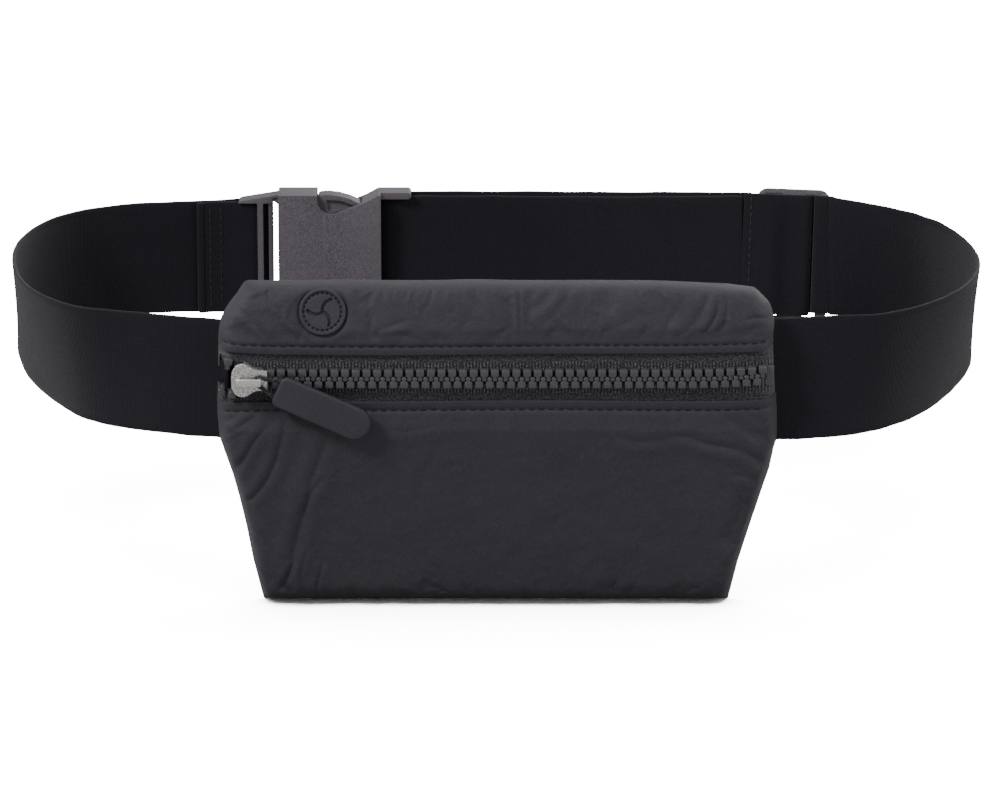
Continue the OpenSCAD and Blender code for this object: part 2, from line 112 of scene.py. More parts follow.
# ---- node helpers ----
class Shader:
    """A material's node tree, built by short calls."""

    def __init__(self, name, rough, metal=0.0, sheen=0.0, specular=0.5):
        self.material = bpy.data.materials.new(name)
        self.material.use_nodes = True
        self.tree = self.material.node_tree
        self.tree.nodes.clear()
        self.bsdf = self.node("ShaderNodeBsdfPrincipled",
                              {"Roughness": rough, "Metallic": metal, "Sheen Weight": sheen, "Sheen Roughness": 0.45,
                               "Specular IOR Level": specular})
        self.node("ShaderNodeOutputMaterial", {"Surface": self.bsdf.outputs[0]})
        self.coords = self.node("ShaderNodeTexCoord").outputs["Object"]
        self.normal = None

    def feed(self, node, socket, value):
        """Gives a socket a number, a colour or another node's output."""
        if isinstance(value, bpy.types.NodeSocket):
            self.tree.links.new(value, node.inputs[socket])
        else:
            node.inputs[socket].default_value = (*value, 1.0) if isinstance(value, tuple) else value

    def node(self, kind, inputs=(), **props):
        made = self.tree.nodes.new(kind)
        for key, value in props.items():
            setattr(made, key, value)
        for socket, value in dict(inputs).items():
            self.feed(made, socket, value)
        return made

    def attribute(self, name):
        return self.node("ShaderNodeAttribute", attribute_name=name).outputs["Vector"]

    def noise(self, scale, detail=3.0, rough=0.5, coords=None, distortion=0.0):
        return self.node("ShaderNodeTexNoise", {"Vector": coords or self.coords, "Scale": scale, "Detail": detail,
                                                "Roughness": rough, "Distortion": distortion}).outputs["Fac"]

    def cells(self, scale):
        return self.node("ShaderNodeTexVoronoi", {"Vector": self.coords, "Scale": scale}).outputs["Distance"]

    def bands(self, scale, direction="X", coords=None, distortion=0.0):
        return self.node("ShaderNodeTexWave", {"Vector": coords or self.coords, "Scale": scale,
                                               "Distortion": distortion, "Detail": 2.0, "Detail Scale": 1.5},
                         bands_direction=direction, wave_profile="SIN").outputs["Fac"]

    def math(self, kind, a, b=0.5):
        return self.node("ShaderNodeMath", {0: a, 1: b}, operation=kind).outputs[0]

    def ramp(self, source, low, high, start=0.0, end=1.0):
        return self.node("ShaderNodeMapRange", {"Value": source, "From Min": start, "From Max": end, "To Min": low,
                                                "To Max": high}).outputs["Result"]

    def mix(self, factor, a, b):
        return self.node("ShaderNodeMix", {0: factor, 6: a, 7: b}, data_type="RGBA", blend_type="MIX").outputs[2]

    def colour(self, source):
        self.feed(self.bsdf, "Base Color", source)

    def rough(self, source):
        self.feed(self.bsdf, "Roughness", source)

    def bump(self, height, distance, strength=1.0):
        """Adds a bump whose full height is distance millimetres."""
        under = {"Normal": self.normal} if self.normal else {}
        made = self.node("ShaderNodeBump", {"Height": height, "Distance": distance * MM, "Strength": strength, **under})
        self.normal = made.outputs[0]
        self.feed(self.bsdf, "Normal", self.normal)


def nylon_material(name, base, tint):
    """Thin crinkled nylon: a plain weave, fine crumples and a soft sheen."""
    s = Shader(name, 0.6, sheen=0.08, specular=0.3)
    blotch = s.noise(28, 4, 0.6)
    fine = s.noise(1100, 2, 0.6)
    weave = s.math("ADD", s.bands(1500, "X", distortion=0.6), s.bands(1500, "Z", distortion=0.6))
    cloth = s.mix(s.ramp(blotch, 0, 1, 0.35, 0.65), base, tint)
    dim, bright = s.mix(0.92, (0, 0, 0), cloth), s.mix(0.16, cloth, (0.07, 0.066, 0.08))
    s.colour(s.mix(s.ramp(fine, 0.0, 1.0, 0.32, 0.68), dim, bright))
    s.rough(s.ramp(blotch, 0.5, 0.66))
    crumple = s.noise(75, 5, 0.62, distortion=0.7)
    wrinkle = s.noise(190, 3, 0.55, distortion=1.2)
    s.bump(s.math("ABSOLUTE", s.math("SUBTRACT", crumple, 0.5)), 0.8, 0.5)
    s.bump(s.math("ABSOLUTE", s.math("SUBTRACT", wrinkle, 0.5)), 0.12, 0.5)
    s.bump(fine, 0.02, 0.5)
    s.bump(weave, 0.03, 0.6)
    return s.material


def elastic_material(name, outer, inner):
    """Woven elastic: fine cross ribs with a painted highlight speckled along their crests, warp lines and a plainer
    selvedge.

    The weave attribute runs along, across and through the strap.
    """
    s = Shader(name, 0.85, sheen=0.12, specular=0.22)
    way = s.attribute("weave")
    _, across, side = s.node("ShaderNodeSeparateXYZ", {"Vector": way}).outputs
    ribs = s.bands(410, "X", way, 0.35)
    warp = s.bands(330, "Y", way, 0.3)
    speck = s.noise(900, 2, 0.6, way)
    blotch = s.noise(20, 3, 0.5, way)
    cloth = s.mix(s.ramp(side, 0, 1), inner, outer)
    # painted highlight: the raised rib crests, speckled, are painted up to nearly twice as pale as the outer colour
    rib_highlight = s.mix(s.math("MULTIPLY", s.ramp(ribs, 0, 0.55), s.ramp(speck, 0, 1.4, 0.35, 0.7)), cloth,
                tuple(1.9 * c for c in outer))
    s.colour(s.mix(s.ramp(blotch, 0.0, 0.35, 0.35, 0.75), rib_highlight, tuple(0.6 * c for c in inner)))
    s.rough(s.ramp(speck, 0.72, 0.95))
    edge = s.math("GREATER_THAN", s.math("ABSOLUTE", across), 0.0232)
    s.bump(s.math("MULTIPLY", ribs, s.ramp(edge, 1, 0.3)), 0.16, 0.8)
    s.bump(warp, 0.07, 0.6)
    s.bump(speck, 0.05, 0.6)
    return s.material


def tape_material(name):
    """Zip tape: knitted ribs beside the teeth, herringbone further out, painted lighter on their crests and darker in
    their hollows.

    The weave attribute runs along the zip and out from its centre.
    """
    s = Shader(name, 0.85, sheen=0.15, specular=0.25)
    way = s.attribute("weave")
    along, out, _ = s.node("ShaderNodeSeparateXYZ", {"Vector": way}).outputs
    zig = s.math("PINGPONG", out, 0.0011)
    slanted = s.node("ShaderNodeCombineXYZ", {"X": s.math("ADD", along, zig), "Y": out})
    herringbone = s.bands(560, "X", slanted.outputs[0], 0.5)
    knit = s.bands(230, "X", way, 0.4)
    near = s.math("LESS_THAN", out, 0.0068)
    speck = s.noise(1300, 2, 0.7, way)
    height = s.math("ADD", s.math("MULTIPLY", knit, near),
                    s.math("MULTIPLY", herringbone, s.math("SUBTRACT", 1.0, near)))
    # painted light and shade: dark is the colour of the weave's hollows and light the colour of its raised crests
    dark, light = (0.014, 0.0132, 0.016), (0.18, 0.172, 0.195)
    s.colour(s.mix(s.math("MULTIPLY", s.ramp(height, 0.02, 0.8), s.ramp(speck, 0, 1.6, 0.42, 0.72)), dark, light))
    s.rough(s.ramp(speck, 0.7, 0.95))
    s.bump(height, 0.22, 0.9)
    s.bump(speck, 0.08, 0.8)
    return s.material


def plastic_material(name, base, rough, grain, depth, specular=0.45, edge_highlight=1.5, spread=0.2):
    """Moulded plastic or rubber: a fine sand texture, slightly uneven colour and gloss, and a painted highlight that
    makes sharp edges paler.
    """
    s = Shader(name, rough, specular=specular)
    speck = s.noise(grain, 2, 0.65)
    cloud = s.noise(45, 3, 0.5)
    # painted highlight: the sharp edges that pointiness finds are painted paler than the body colour
    point = s.node("ShaderNodeNewGeometry").outputs["Pointiness"]
    edge = s.ramp(point, 0.0, 0.6, 0.51, 0.6)
    body = s.mix(s.ramp(speck, 0, 1, 0.32, 0.68), tuple((1 - spread) * c for c in base),
                 tuple((1 + 1.4 * spread) * c for c in base))
    body = s.mix(s.ramp(cloud, 0.0, 0.3, 0.3, 0.7), body, tuple(0.75 * c for c in base))
    s.colour(s.mix(edge, body, tuple(edge_highlight * c for c in base)))
    s.rough(s.ramp(cloud, rough - 0.06, rough + 0.07))
    s.bump(speck, depth, 0.8)
    return s.material


def metal_material(name, dull, pale, depth):
    """Cast zinc: granular, with dull and pale grains."""
    s = Shader(name, 0.36, metal=0.85, specular=0.5)
    grain = s.noise(1500, 3, 0.7)
    cloud = s.noise(190, 4, 0.6)
    s.colour(s.mix(s.ramp(grain, 0, 1, 0.36, 0.66), dull, pale))
    s.rough(s.ramp(cloud, 0.28, 0.5, 0.3, 0.7))
    s.bump(grain, depth, 0.9)
    s.bump(cloud, 0.12, 0.6)
    return s.material


def cord_material(name):
    s = Shader(name, 0.75, sheen=0.15, specular=0.3)
    braid = s.cells(1500)
    s.colour(s.mix(s.ramp(braid, 0, 1, 0.1, 0.6), (0.05, 0.049, 0.052), (0.007, 0.007, 0.008)))
    s.rough(s.ramp(braid, 0.6, 0.9))
    s.bump(braid, 0.12, 0.9)
    return s.material


def floor_material(name):
    s = Shader(name, 0.75, specular=0.1)
    cloud = s.noise(3, 2)
    pale = s.mix(s.ramp(cloud, 0, 1), (0.93, 0.93, 0.932), (0.96, 0.96, 0.962))
    seen = s.node("ShaderNodeLightPath").outputs["Is Camera Ray"]
    s.colour(s.mix(seen, (0.02, 0.02, 0.02), pale))
    s.rough(s.ramp(cloud, 0.7, 0.8))
    return s.material


NYLON = nylon_material("pouch_nylon", (0.0292, 0.0270, 0.0353), (0.0242, 0.0228, 0.0336))
ELASTIC = elastic_material("elastic", (0.0095, 0.0088, 0.0150), (0.0072, 0.0060, 0.0102))
TAPE = tape_material("zip_tape")
RESIN = plastic_material("zip_resin", (0.052, 0.050, 0.058), rough=0.42, grain=1200, depth=0.03, specular=0.5)
METAL = metal_material("slider_metal", (0.25, 0.24, 0.24), (0.93, 0.88, 0.87), 0.13)
BRIGHT_METAL = metal_material("bail_metal", (0.52, 0.50, 0.48), (0.80, 0.77, 0.74), 0.04)
CORD = cord_material("cord")
THREAD = plastic_material("thread", (0.006, 0.0058, 0.007), rough=0.7, grain=3000, depth=0.04, specular=0.3)
BELT_THREAD = plastic_material("belt_thread", (0.022, 0.021, 0.026), rough=0.7, grain=3000, depth=0.04, specular=0.3)
RUBBER = plastic_material("soft_rubber", (0.0300, 0.0290, 0.0378), rough=0.62, grain=1700, depth=0.035, specular=0.38,
                          edge_highlight=1.25)
PLASTIC = plastic_material("buckle_plastic", (0.090, 0.080, 0.094), rough=0.52, grain=1900, depth=0.09, specular=0.42,
                           edge_highlight=1.3, spread=0.55)
BINDING = elastic_material("binding", (0.014, 0.014, 0.016), (0.012, 0.012, 0.014))
FLOOR = floor_material("floor")


# ---- mesh helpers ----
def add_object(name, mesh, material):
    obj = bpy.data.objects.new(name, mesh)
    bpy.context.collection.objects.link(obj)
    mesh.materials.clear()
    mesh.materials.append(material)
    mesh.shade_smooth()
    return obj


def mesh_from(name, points, faces, material, weave=None):
    """A mesh of points in millimetres; weave is each point's own coordinates along, across and through."""
    mesh = bpy.data.meshes.new(name)
    mesh.from_pydata((np.asarray(points, float) * MM).tolist(), [], faces)
    mesh.update()
    if weave is not None:
        attribute = mesh.attributes.new("weave", "FLOAT_VECTOR", "POINT")
        attribute.data.foreach_set("vector", (np.asarray(weave, float) * MM).astype(np.float32).ravel())
    bm = bmesh.new()
    bm.from_mesh(mesh)
    bmesh.ops.recalc_face_normals(bm, faces=bm.faces)
    bm.to_mesh(mesh)
    bm.free()
    return add_object(name, mesh, material)


def place(obj, body, slot, *nodes):
    """Puts a finished piece on its body and hides the CAD nodes that it stands for; slot is not used."""
    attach(obj, body)
    if nodes:
        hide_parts(*nodes)
    return obj


def share_of(value, span):
    """value / span, held between 0 and 1."""
    return np.clip(value / span, 0, 1)


def unit(v):
    return v / np.maximum(np.linalg.norm(v, axis=-1, keepdims=True), 1e-9)


def run_along(path):
    """How far each point of a path lies along it."""
    return np.concatenate([[0], np.cumsum(np.linalg.norm(np.diff(path, axis=0), axis=1))])


def made_from(bm, name, material):
    """An object from a finished bmesh, which is freed."""
    mesh = bpy.data.meshes.new(name)
    bm.to_mesh(mesh)
    bm.free()
    return add_object(name, mesh, material)


def grid_normals(mid):
    """Unit normals of a grid of points, which face the side that rows x columns turns to."""
    return unit(np.cross(np.gradient(mid, axis=0), np.gradient(mid, axis=1)))


def loop_faces(loops, size, first=0):
    """The quads between closed loops of size points each, numbered from first."""
    return [(first + r * size + c, first + r * size + (c + 1) % size,
             first + (r + 1) * size + (c + 1) % size, first + (r + 1) * size + c)
            for r in range(loops - 1) for c in range(size)]


def shell(name, mid, thick, material, flip=False):
    """A closed sheet of even thickness with rounded edges, about a grid of points (rows, columns, 3)."""
    mid = np.asarray(mid, float)
    rows, cols = mid.shape[:2]
    normal = grid_normals(mid) * (-1 if flip else 1)
    along, across = run_along(mid[:, cols // 2]), run_along(mid[rows // 2])
    across -= across[-1] / 2
    half = thick / 2
    rim = np.radians([32, 64, 90, 116, 148])
    out_right, out_left = unit(mid[:, -1] - mid[:, -2]), unit(mid[:, 0] - mid[:, 1])

    def ring(r, shift, share):
        """The closed loop round row r, moved by shift and thinned to share."""
        n, h = normal[r], half * share
        base = mid[r] + shift
        points = [base + n * h]
        points.append([base[-1] + n[-1] * h * math.cos(a) + out_right[r] * h * math.sin(a) for a in rim])
        points.append((base - n * h)[::-1])
        points.append([base[0] - n[0] * h * math.cos(a) + out_left[r] * h * math.sin(a) for a in rim])
        turn = (1, 0.8, 0.5, 0.2, 0)
        ways = [[along[r], a, thick] for a in across] + [[along[r], across[-1], thick * k] for k in turn]
        ways += [[along[r], a, 0] for a in across[::-1]] + [[along[r], across[0], thick * k] for k in turn[::-1]]
        return np.vstack(points), ways

    first, last = unit(mid[0] - mid[1]), unit(mid[-1] - mid[-2])
    rings = [ring(0, first * half * math.sin(a), math.cos(a)) for a in np.radians([70, 35])]
    rings += [ring(r, 0, 1) for r in range(rows)]
    rings += [ring(rows - 1, last * half * math.sin(a), math.cos(a)) for a in np.radians([35, 70])]
    size, k = 2 * cols + 2 * len(rim), len(rim)
    faces = loop_faces(len(rings), size)
    for start in (0, (len(rings) - 1) * size):
        upper = [start + c for c in range(cols)]
        lower = [start + 2 * cols + k - 1 - c for c in range(cols)]
        faces += [(upper[c], upper[c + 1], lower[c + 1], lower[c]) for c in range(cols - 1)]
        faces.append([start + cols - 1 + j for j in range(k + 2)])
        faces.append([start + (2 * cols + k - 1 + j) % size for j in range(k + 2)])
    points = np.vstack([p for p, _ in rings])
    weave = np.array([w for _, ways in rings for w in ways])
    return mesh_from(name, points, faces, material, weave)


def spline(points, steps):
    """Smooth curve through the points, with steps pieces between each two."""
    p = np.asarray(points, float)
    out = []
    for i in range(len(p) - 1):
        a, b, c, d = p[max(i - 1, 0)], p[i], p[i + 1], p[min(i + 2, len(p) - 1)]
        for t in np.arange(steps) / steps:
            out.append(0.5 * (2 * b + (c - a) * t + (2 * a - 5 * b + 4 * c - d) * t * t
                              + (3 * b - a - 3 * c + d) * t ** 3))
    out.append(p[-1])
    return np.array(out)


def tube(name, path, radius, material, sides=10):
    """A round cord along a path, rounded off at its ends."""
    path = np.asarray(path, float)
    tangent = unit(np.gradient(path, axis=0))
    up = np.array([0.13, 0.24, 0.96])
    rings, weave = [], []
    length = run_along(path)
    stations = [(0, -0.8, 0.45), (0, -0.4, 0.85), *[(i, 0, 1) for i in range(len(path))],
                (len(path) - 1, 0.4, 0.85), (len(path) - 1, 0.8, 0.45)]
    for i, ahead, share in stations:
        side = np.cross(tangent[i], up)
        side /= np.linalg.norm(side)
        other = np.cross(tangent[i], side)
        for k in range(sides):
            a = 2 * math.pi * k / sides
            rings.append(path[i] + tangent[i] * ahead * radius
                         + share * radius * (math.cos(a) * side + math.sin(a) * other))
            weave.append([length[i], radius * a, 0])
    faces = loop_faces(len(stations), sides)
    faces += [list(range(sides)), list(range((len(stations) - 1) * sides, len(stations) * sides))]
    return mesh_from(name, rings, faces, material, weave)


def joined(name, objects):
    """One object from several, all at the origin."""
    bm = bmesh.new()
    for obj in objects:
        bm.from_mesh(obj.data)
    material = objects[0].data.materials[0]
    for obj in objects:
        bpy.data.objects.remove(obj)
    return made_from(bm, name, material)


def bevelled(bm, width, segments=3):
    """Rounds the sharp edges of a closed mesh."""
    bmesh.ops.dissolve_limit(bm, angle_limit=math.radians(1.5), verts=bm.verts, edges=bm.edges)
    sharp = [e for e in bm.edges if e.is_manifold and e.calc_face_angle(0) > math.radians(28)]
    bmesh.ops.bevel(bm, geom=sharp, offset=width * MM, segments=segments, profile=0.5, affect="EDGES",
                    clamp_overlap=True, loop_slide=True)


def smooth_by_angle(mesh, degrees=32):
    """Smooth shading with hard edges kept where faces meet sharply."""
    mesh.shade_smooth()
    bm = bmesh.new()
    bm.from_mesh(mesh)
    for e in bm.edges:
        e.smooth = not (e.is_manifold and e.calc_face_angle(0) > math.radians(degrees))
    bm.to_mesh(mesh)
    bm.free()


def prism(name, outline, near, far, material, width=0.4, segments=3, axis=1, sharp=math.radians(40)):
    """An outline given thickness along Y, or along Z with axis 2, with rounded edges where it turns sharply."""
    def spot(a, b, depth):
        point = [a * MM, b * MM]
        return point[:axis] + [depth * MM] + point[axis:]

    bm = bmesh.new()
    face = bm.faces.new([bm.verts.new(spot(a, b, near)) for a, b in outline])
    made = bmesh.ops.extrude_face_region(bm, geom=[face])
    moved = [v for v in made["geom"] if isinstance(v, bmesh.types.BMVert)]
    bmesh.ops.translate(bm, verts=moved, vec=spot(0, 0, far - near))
    bmesh.ops.recalc_face_normals(bm, faces=bm.faces)
    if width:
        rims = [e for e in bm.edges if e.calc_face_angle(0) > sharp]
        bmesh.ops.bevel(bm, geom=rims, offset=width * MM, segments=segments, profile=0.5, affect="EDGES",
                        clamp_overlap=True)
    obj = made_from(bm, name, material)
    smooth_by_angle(obj.data)
    return obj


def moulded(node, name, body, slot, material, width=0.45, segments=3, moved=None):
    """A copy of a CAD node with its sharp edges rounded; moved gives a point's new place in millimetres."""
    bm = bmesh.new()
    bm.from_mesh(NODES[node].data)
    bmesh.ops.remove_doubles(bm, verts=bm.verts, dist=1e-6)
    if moved:
        for v in bm.verts:
            v.co = Vector(moved(*(v.co / MM))) * MM
    bevelled(bm, width, segments)
    bmesh.ops.triangulate(bm, faces=[f for f in bm.faces if len(f.verts) > 4])
    obj = made_from(bm, name, material)
    smooth_by_angle(obj.data)
    return place(obj, body, slot, node)


# ---- pouch surface ----
def width_at(z):
    z = np.asarray(z, float)
    w = np.where(z < TAPER_Z, HALF_W - (HALF_W - BOTTOM_W / 2) * (TAPER_Z - z) / (TAPER_Z - BOTTOM_Z), HALF_W)
    return np.where(z > CORNER_Z, HALF_W - CORNER_IN * (np.maximum(z - CORNER_Z, 0) / (TOP_Z - CORNER_Z)) ** 2, w)


def stray(u, z):
    """How far the side seams stand outside their straight lines."""
    left = np.interp(z, [-97, -80, -66, -52, -41, -27, -15, 5, 22, 28, 32, 37, 42],
                     [0, -0.2, -1.3, -1.9, -1.8, -0.8, 0, 0, -1.1, -1.9, -2.4, -2.8, -1.2])
    right = np.interp(z, [-97, -81, -63, -47, -39, -30, -22, -15, 0, 20, 30, 36, 42],
                      [0, -0.3, 0.5, 1.3, 1.8, 1.2, 1.6, 1.4, 0.3, -1.0, 0.3, 2.2, 2.4])
    return np.where(u < 0, -left, right) * share_of(np.abs(u) - 0.4, 0.6) ** 2


def top_slope(x, z):
    """How far the pouch's top has dropped towards its right corner."""
    drop = np.interp(x, [50, 80, 96, 108, 117], [0, 0.7, 1.5, 3.0, 5.0])
    return drop * share_of(z - 20, TOP_Z - 20) ** 1.5


def depth_at(u, z):
    """How far the front stands off the back at u, from -1 to 1 across, and height z."""
    u, z = np.asarray(u, float), np.asarray(z, float)
    across = 1 - np.abs(u) ** 60
    upper = (DEPTH - LEAN * np.maximum(0, z - LEAN_Z)) * (1 - share_of(z - ZIP_Z, TOP_Z - ZIP_Z) ** 60)
    down = share_of(ZIP_Z - z, ZIP_Z - BOTTOM_Z)
    lower = (DEPTH - 5.5 * down) * (1 - down ** 45)
    return across * np.where(z > ZIP_Z, upper, lower)


def front_mid(u, z):
    """The y of the front panels' middle layer, which meets the back panel along the seams."""
    depth = depth_at(u, z)
    return BACK_Y - depth - PANEL_T / 2 * (0.2 + 0.8 * np.clip(depth / 3, 0, 1))


def value_noise(x, z, scale, seed):
    """Smooth noise from -1 to 1 at each x, z, of that wavelength in millimetres."""
    flat = [noise.noise(Vector((a / scale, b / scale, seed * 7.31))) for a, b in zip(x.ravel(), z.ravel())]
    return np.array(flat).reshape(x.shape)


def crease(x, z, route, height, width, skew=0.5):
    """A crease along a route of points: a sharp valley between two soft ridges, the higher one on its right."""
    route = spline(route, 6)
    best = np.full(x.shape, 1e9)
    signed = np.zeros(x.shape)
    where = np.zeros(x.shape)
    for i in range(len(route) - 1):
        a, d = route[i], route[i + 1] - route[i]
        t = share_of((x - a[0]) * d[0] + (z - a[1]) * d[1], d @ d)
        dx, dz = x - a[0] - t * d[0], z - a[1] - t * d[1]
        dist = np.hypot(dx, dz)
        side = np.sign(d[1] * dx - d[0] * dz)
        near = dist < best
        best = np.where(near, dist, best)
        signed = np.where(near, dist * side, signed)
        where = np.where(near, (i + t) / (len(route) - 1), where)
    fade = np.clip(np.sin(np.pi * np.clip(where, 0.0, 1.0)), 0, 1) ** 0.6
    valley = np.exp(-np.abs(signed / (0.55 * width)) ** 1.5)
    ridges = np.exp(-((signed - 1.6 * width) / (1.3 * width)) ** 2)
    ridges += skew * np.exp(-((signed + 1.6 * width) / (1.4 * width)) ** 2)
    return height * fade * (1.3 * ridges - valley)


def sample(field, rows, cols):
    """A field read at fractional rows and columns, both from 0 to 1."""
    r, c = np.clip(rows, 0, 1) * (field.shape[0] - 1), np.clip(cols, 0, 1) * (field.shape[1] - 1)
    r0, c0 = np.minimum(r.astype(int), field.shape[0] - 2), np.minimum(c.astype(int), field.shape[1] - 2)
    fr, fc = r - r0, c - c0
    return ((1 - fr) * (1 - fc) * field[r0, c0] + (1 - fr) * fc * field[r0, c0 + 1]
            + fr * (1 - fc) * field[r0 + 1, c0] + fr * fc * field[r0 + 1, c0 + 1])


def edge_dense(low, high, n, power=2.0):
    """n values from low to high, closer together towards high."""
    return high - (high - low) * (1 - np.linspace(0, 1, n)) ** power


SIM_SCALE = 10          # the cloth solver works better on a sheet ten times as large


def buckled(name, x, y, z, growth, pressure, frames, cap):
    """How far a sheet moves along -Y when it is cut a little too large for its seams. Millimetres in and out."""
    rows, cols = x.shape
    points = np.stack([x, y, z], -1).reshape(-1, 3) * MM * SIM_SCALE
    faces = [(r * cols + c, r * cols + c + 1, (r + 1) * cols + c + 1, (r + 1) * cols + c)
             for r in range(rows - 1) for c in range(cols - 1)]
    mesh = bpy.data.meshes.new(name)
    mesh.from_pydata(points.tolist(), [], faces)
    mesh.update()
    obj = bpy.data.objects.new(name, mesh)
    bpy.context.collection.objects.link(obj)
    pins = obj.vertex_groups.new(name="pins")
    edge = [r * cols + c for r in range(rows) for c in range(cols) if r in (0, rows - 1) or c in (0, cols - 1)]
    pins.add(edge, 1.0, "REPLACE")
    cloth = obj.modifiers.new("Cloth", "CLOTH")
    s = cloth.settings
    s.quality, s.mass, s.air_damping = 7, 0.12, 3.0
    s.tension_stiffness = s.compression_stiffness = 22
    s.shear_stiffness, s.bending_stiffness = 9, 0.06
    s.vertex_group_mass, s.shrink_min = "pins", -growth
    s.effector_weights.gravity = 0
    s.use_pressure, s.uniform_pressure_force = True, pressure
    cloth.collision_settings.use_collision = cloth.collision_settings.use_self_collision = False
    cloth.point_cache.frame_start, cloth.point_cache.frame_end = 1, frames
    scene = bpy.context.scene
    for f in range(1, frames + 1):
        scene.frame_set(f)
    made = obj.evaluated_get(bpy.context.evaluated_depsgraph_get()).to_mesh()
    co = np.zeros(len(made.vertices) * 3, np.float32)
    made.vertices.foreach_get("co", co)
    moved = (points[:, 1] - co.reshape(-1, 3)[:, 1]) / MM / SIM_SCALE
    bpy.data.objects.remove(obj)
    scene.frame_set(1)
    return np.clip(moved.reshape(rows, cols), -cap, cap)


def stitch_z(x, upper):
    """Height of a stitch row: straight along the middle, drawn to the zip's ends by the seams."""
    left = share_of(-x - 88, 28) ** 2
    right = share_of(x - 60, 56) ** 2
    if upper:
        return UPPER_STITCH_Z + 0.35 * np.sin(x / 31) + 1.1 * left + 1.7 * right
    return LOWER_STITCH_Z + 0.3 * np.sin(x / 27 + 1) - 1.1 * left + 0.9 * right


def flap_z(x, upper):
    if upper:
        return stitch_z(x, True) - (UPPER_STITCH_Z - UPPER_FLAP_Z)
    return stitch_z(x, False) + (LOWER_FLAP_Z - LOWER_STITCH_Z)


def puckers(x, z, line, seed):
    """The ripples that a row of stitches draws into thin cloth, which die away from it."""
    away = np.abs(z - line)
    ripple = value_noise(x, 0.25 * z, 5.5, seed) + 0.6 * value_noise(x, 0.3 * z, 2.6, seed + 3)
    return ripple * 0.42 * np.exp(-away / 4.5) - 0.6 * np.exp(-(away / 0.9) ** 2)


def mirrored(dense, middle):
    """Values from -1 to 1: the dense ones at both ends and evenly spaced ones between them."""
    return np.concatenate([-dense[::-1], np.linspace(-dense[0], dense[0], middle)[1:-1], dense])


COLS = mirrored(edge_dense(0.93, 1.0, 12), 290)


def crinkle(x, z, seed):
    """Sharp-ridged crumples, as in nylon that has been scrunched up."""
    total = np.zeros(x.shape)
    for scale, height in ((26, 0.5), (12, 0.34), (5.5, 0.16)):
        total += height * (1 - 2.2 * np.abs(value_noise(x + 0.35 * z, z - 0.2 * x, scale, seed + scale)))
    return total * 0.55


# The larger creases. Each row: height, width, the lower ridge's share, route.
# Lower front: drawn to the belt's seam on the left, below the pull, and towards the right seam
LOWER_FOLDS = [
    (0.75, 1.9, 0.5, [(-87, -10), (-90, -24), (-93, -34), (-97, -42), (-102, -48), (-107, -51)]),
    (0.65, 1.7, 0.5, [(-95, -16), (-101, -23), (-105, -30), (-111, -39)]),
    (0.5, 1.5, 0.5, [(-98, -11), (-105, -15), (-114, -22)]),
    (0.4, 1.4, 0.5, [(-105, -19), (-110, -22), (-115, -29)]),
    (0.85, 2.8, 0.7, [(-69, -18), (-74, -32), (-78, -44), (-81, -56), (-84, -69), (-86, -80), (-90, -92)]),
    (0.45, 1.5, 0.5, [(-71, -38), (-77, -46), (-81, -56)]),
    (0.5, 1.5, 0.5, [(-79, -70), (-82, -83), (-80, -94)]),
    (0.4, 1.3, 0.5, [(-73, -77), (-75, -87), (-77, -95)]),
    (0.55, 1.3, 0.5, [(-85, -77), (-88, -84), (-92, -91)]),
    (0.6, 2.2, 0.5, [(72, -21), (80, -21), (88, -24), (102, -27), (108, -31), (114, -36)]),
    (0.3, 2.2, 0.5, [(49, -21), (60, -23), (72, -22)]),
    (0.4, 1.7, 0.5, [(104, -45), (110, -48), (114, -51)]),
    (0.3, 2.0, 0.5, [(98, -38), (106, -39), (112, -43)]),
    (0.28, 1.6, 0.5, [(-49, -18), (-38, -18.5), (-26, -17)]),
    (0.18, 3.0, 0.5, [(-20, -22), (-28, -33), (-32, -46)]),
    (0.14, 4.5, 0.5, [(38, -50), (18, -64), (4, -82)]),
    (0.12, 4.0, 0.5, [(76, -60), (60, -74), (48, -90)]),
]
# Upper front: at the corners, round the port and across the middle
UPPER_FOLDS = [
    (0.65, 1.2, 0.5, [(92.5, 43), (91.5, 32), (87, 24)]),
    (0.5, 1.2, 0.5, [(94.5, 42), (95.7, 32), (94.5, 25)]),
    (0.35, 1.8, 0.5, [(90.5, 43), (88, 38), (82, 28), (74, 21)]),
    (0.35, 0.9, 0.5, [(9.7, 42), (9.9, 32), (9.6, 20)]),
    (0.25, 1.8, 0.5, [(32, 38), (24, 31), (16, 25)]),
    (0.55, 1.2, 0.5, [(-94.6, 43), (-94.2, 37), (-90, 33)]),
    (0.55, 1.3, 0.5, [(-102, 29), (-97, 24), (-93, 18)]),
    (0.4, 1.4, 0.5, [(-108, 33), (-103, 31), (-100, 26)]),
    (0.5, 1.2, 0.5, [(-84, 35), (-86, 29), (-81, 25), (-82, 19)]),
    (0.3, 1.5, 0.5, [(-50, 24), (-43, 27), (-34, 30)]),
    (0.3, 1.4, 0.5, [(-52, 22), (-42, 23), (-30, 22)]),
    (0.5, 1.3, 0.5, [(103, 29.5), (109, 31), (114, 29)]),
    (0.4, 1.3, 0.5, [(106, 40), (109, 36), (113, 33)]),
    (0.25, 2.2, 0.5, [(62, 33), (54, 28), (44, 24)]),
]


def folds(x, z, rows):
    """The height of a table of creases at x, z."""
    return sum(crease(x, z, route, height, width, skew) for height, width, skew, route in rows)


def panel_points(u, v, upper, trim=0.0):
    """x and z of a front panel at u across and v up it, and its flap's z; trim lowers the upper one's top edge."""
    flap = flap_z(u * HALF_W, upper)
    low, high = (flap, TOP_Z - trim) if upper else (BOTTOM_Z, flap)
    z = low + v * (high - low)
    return u * width_at(z), z, flap


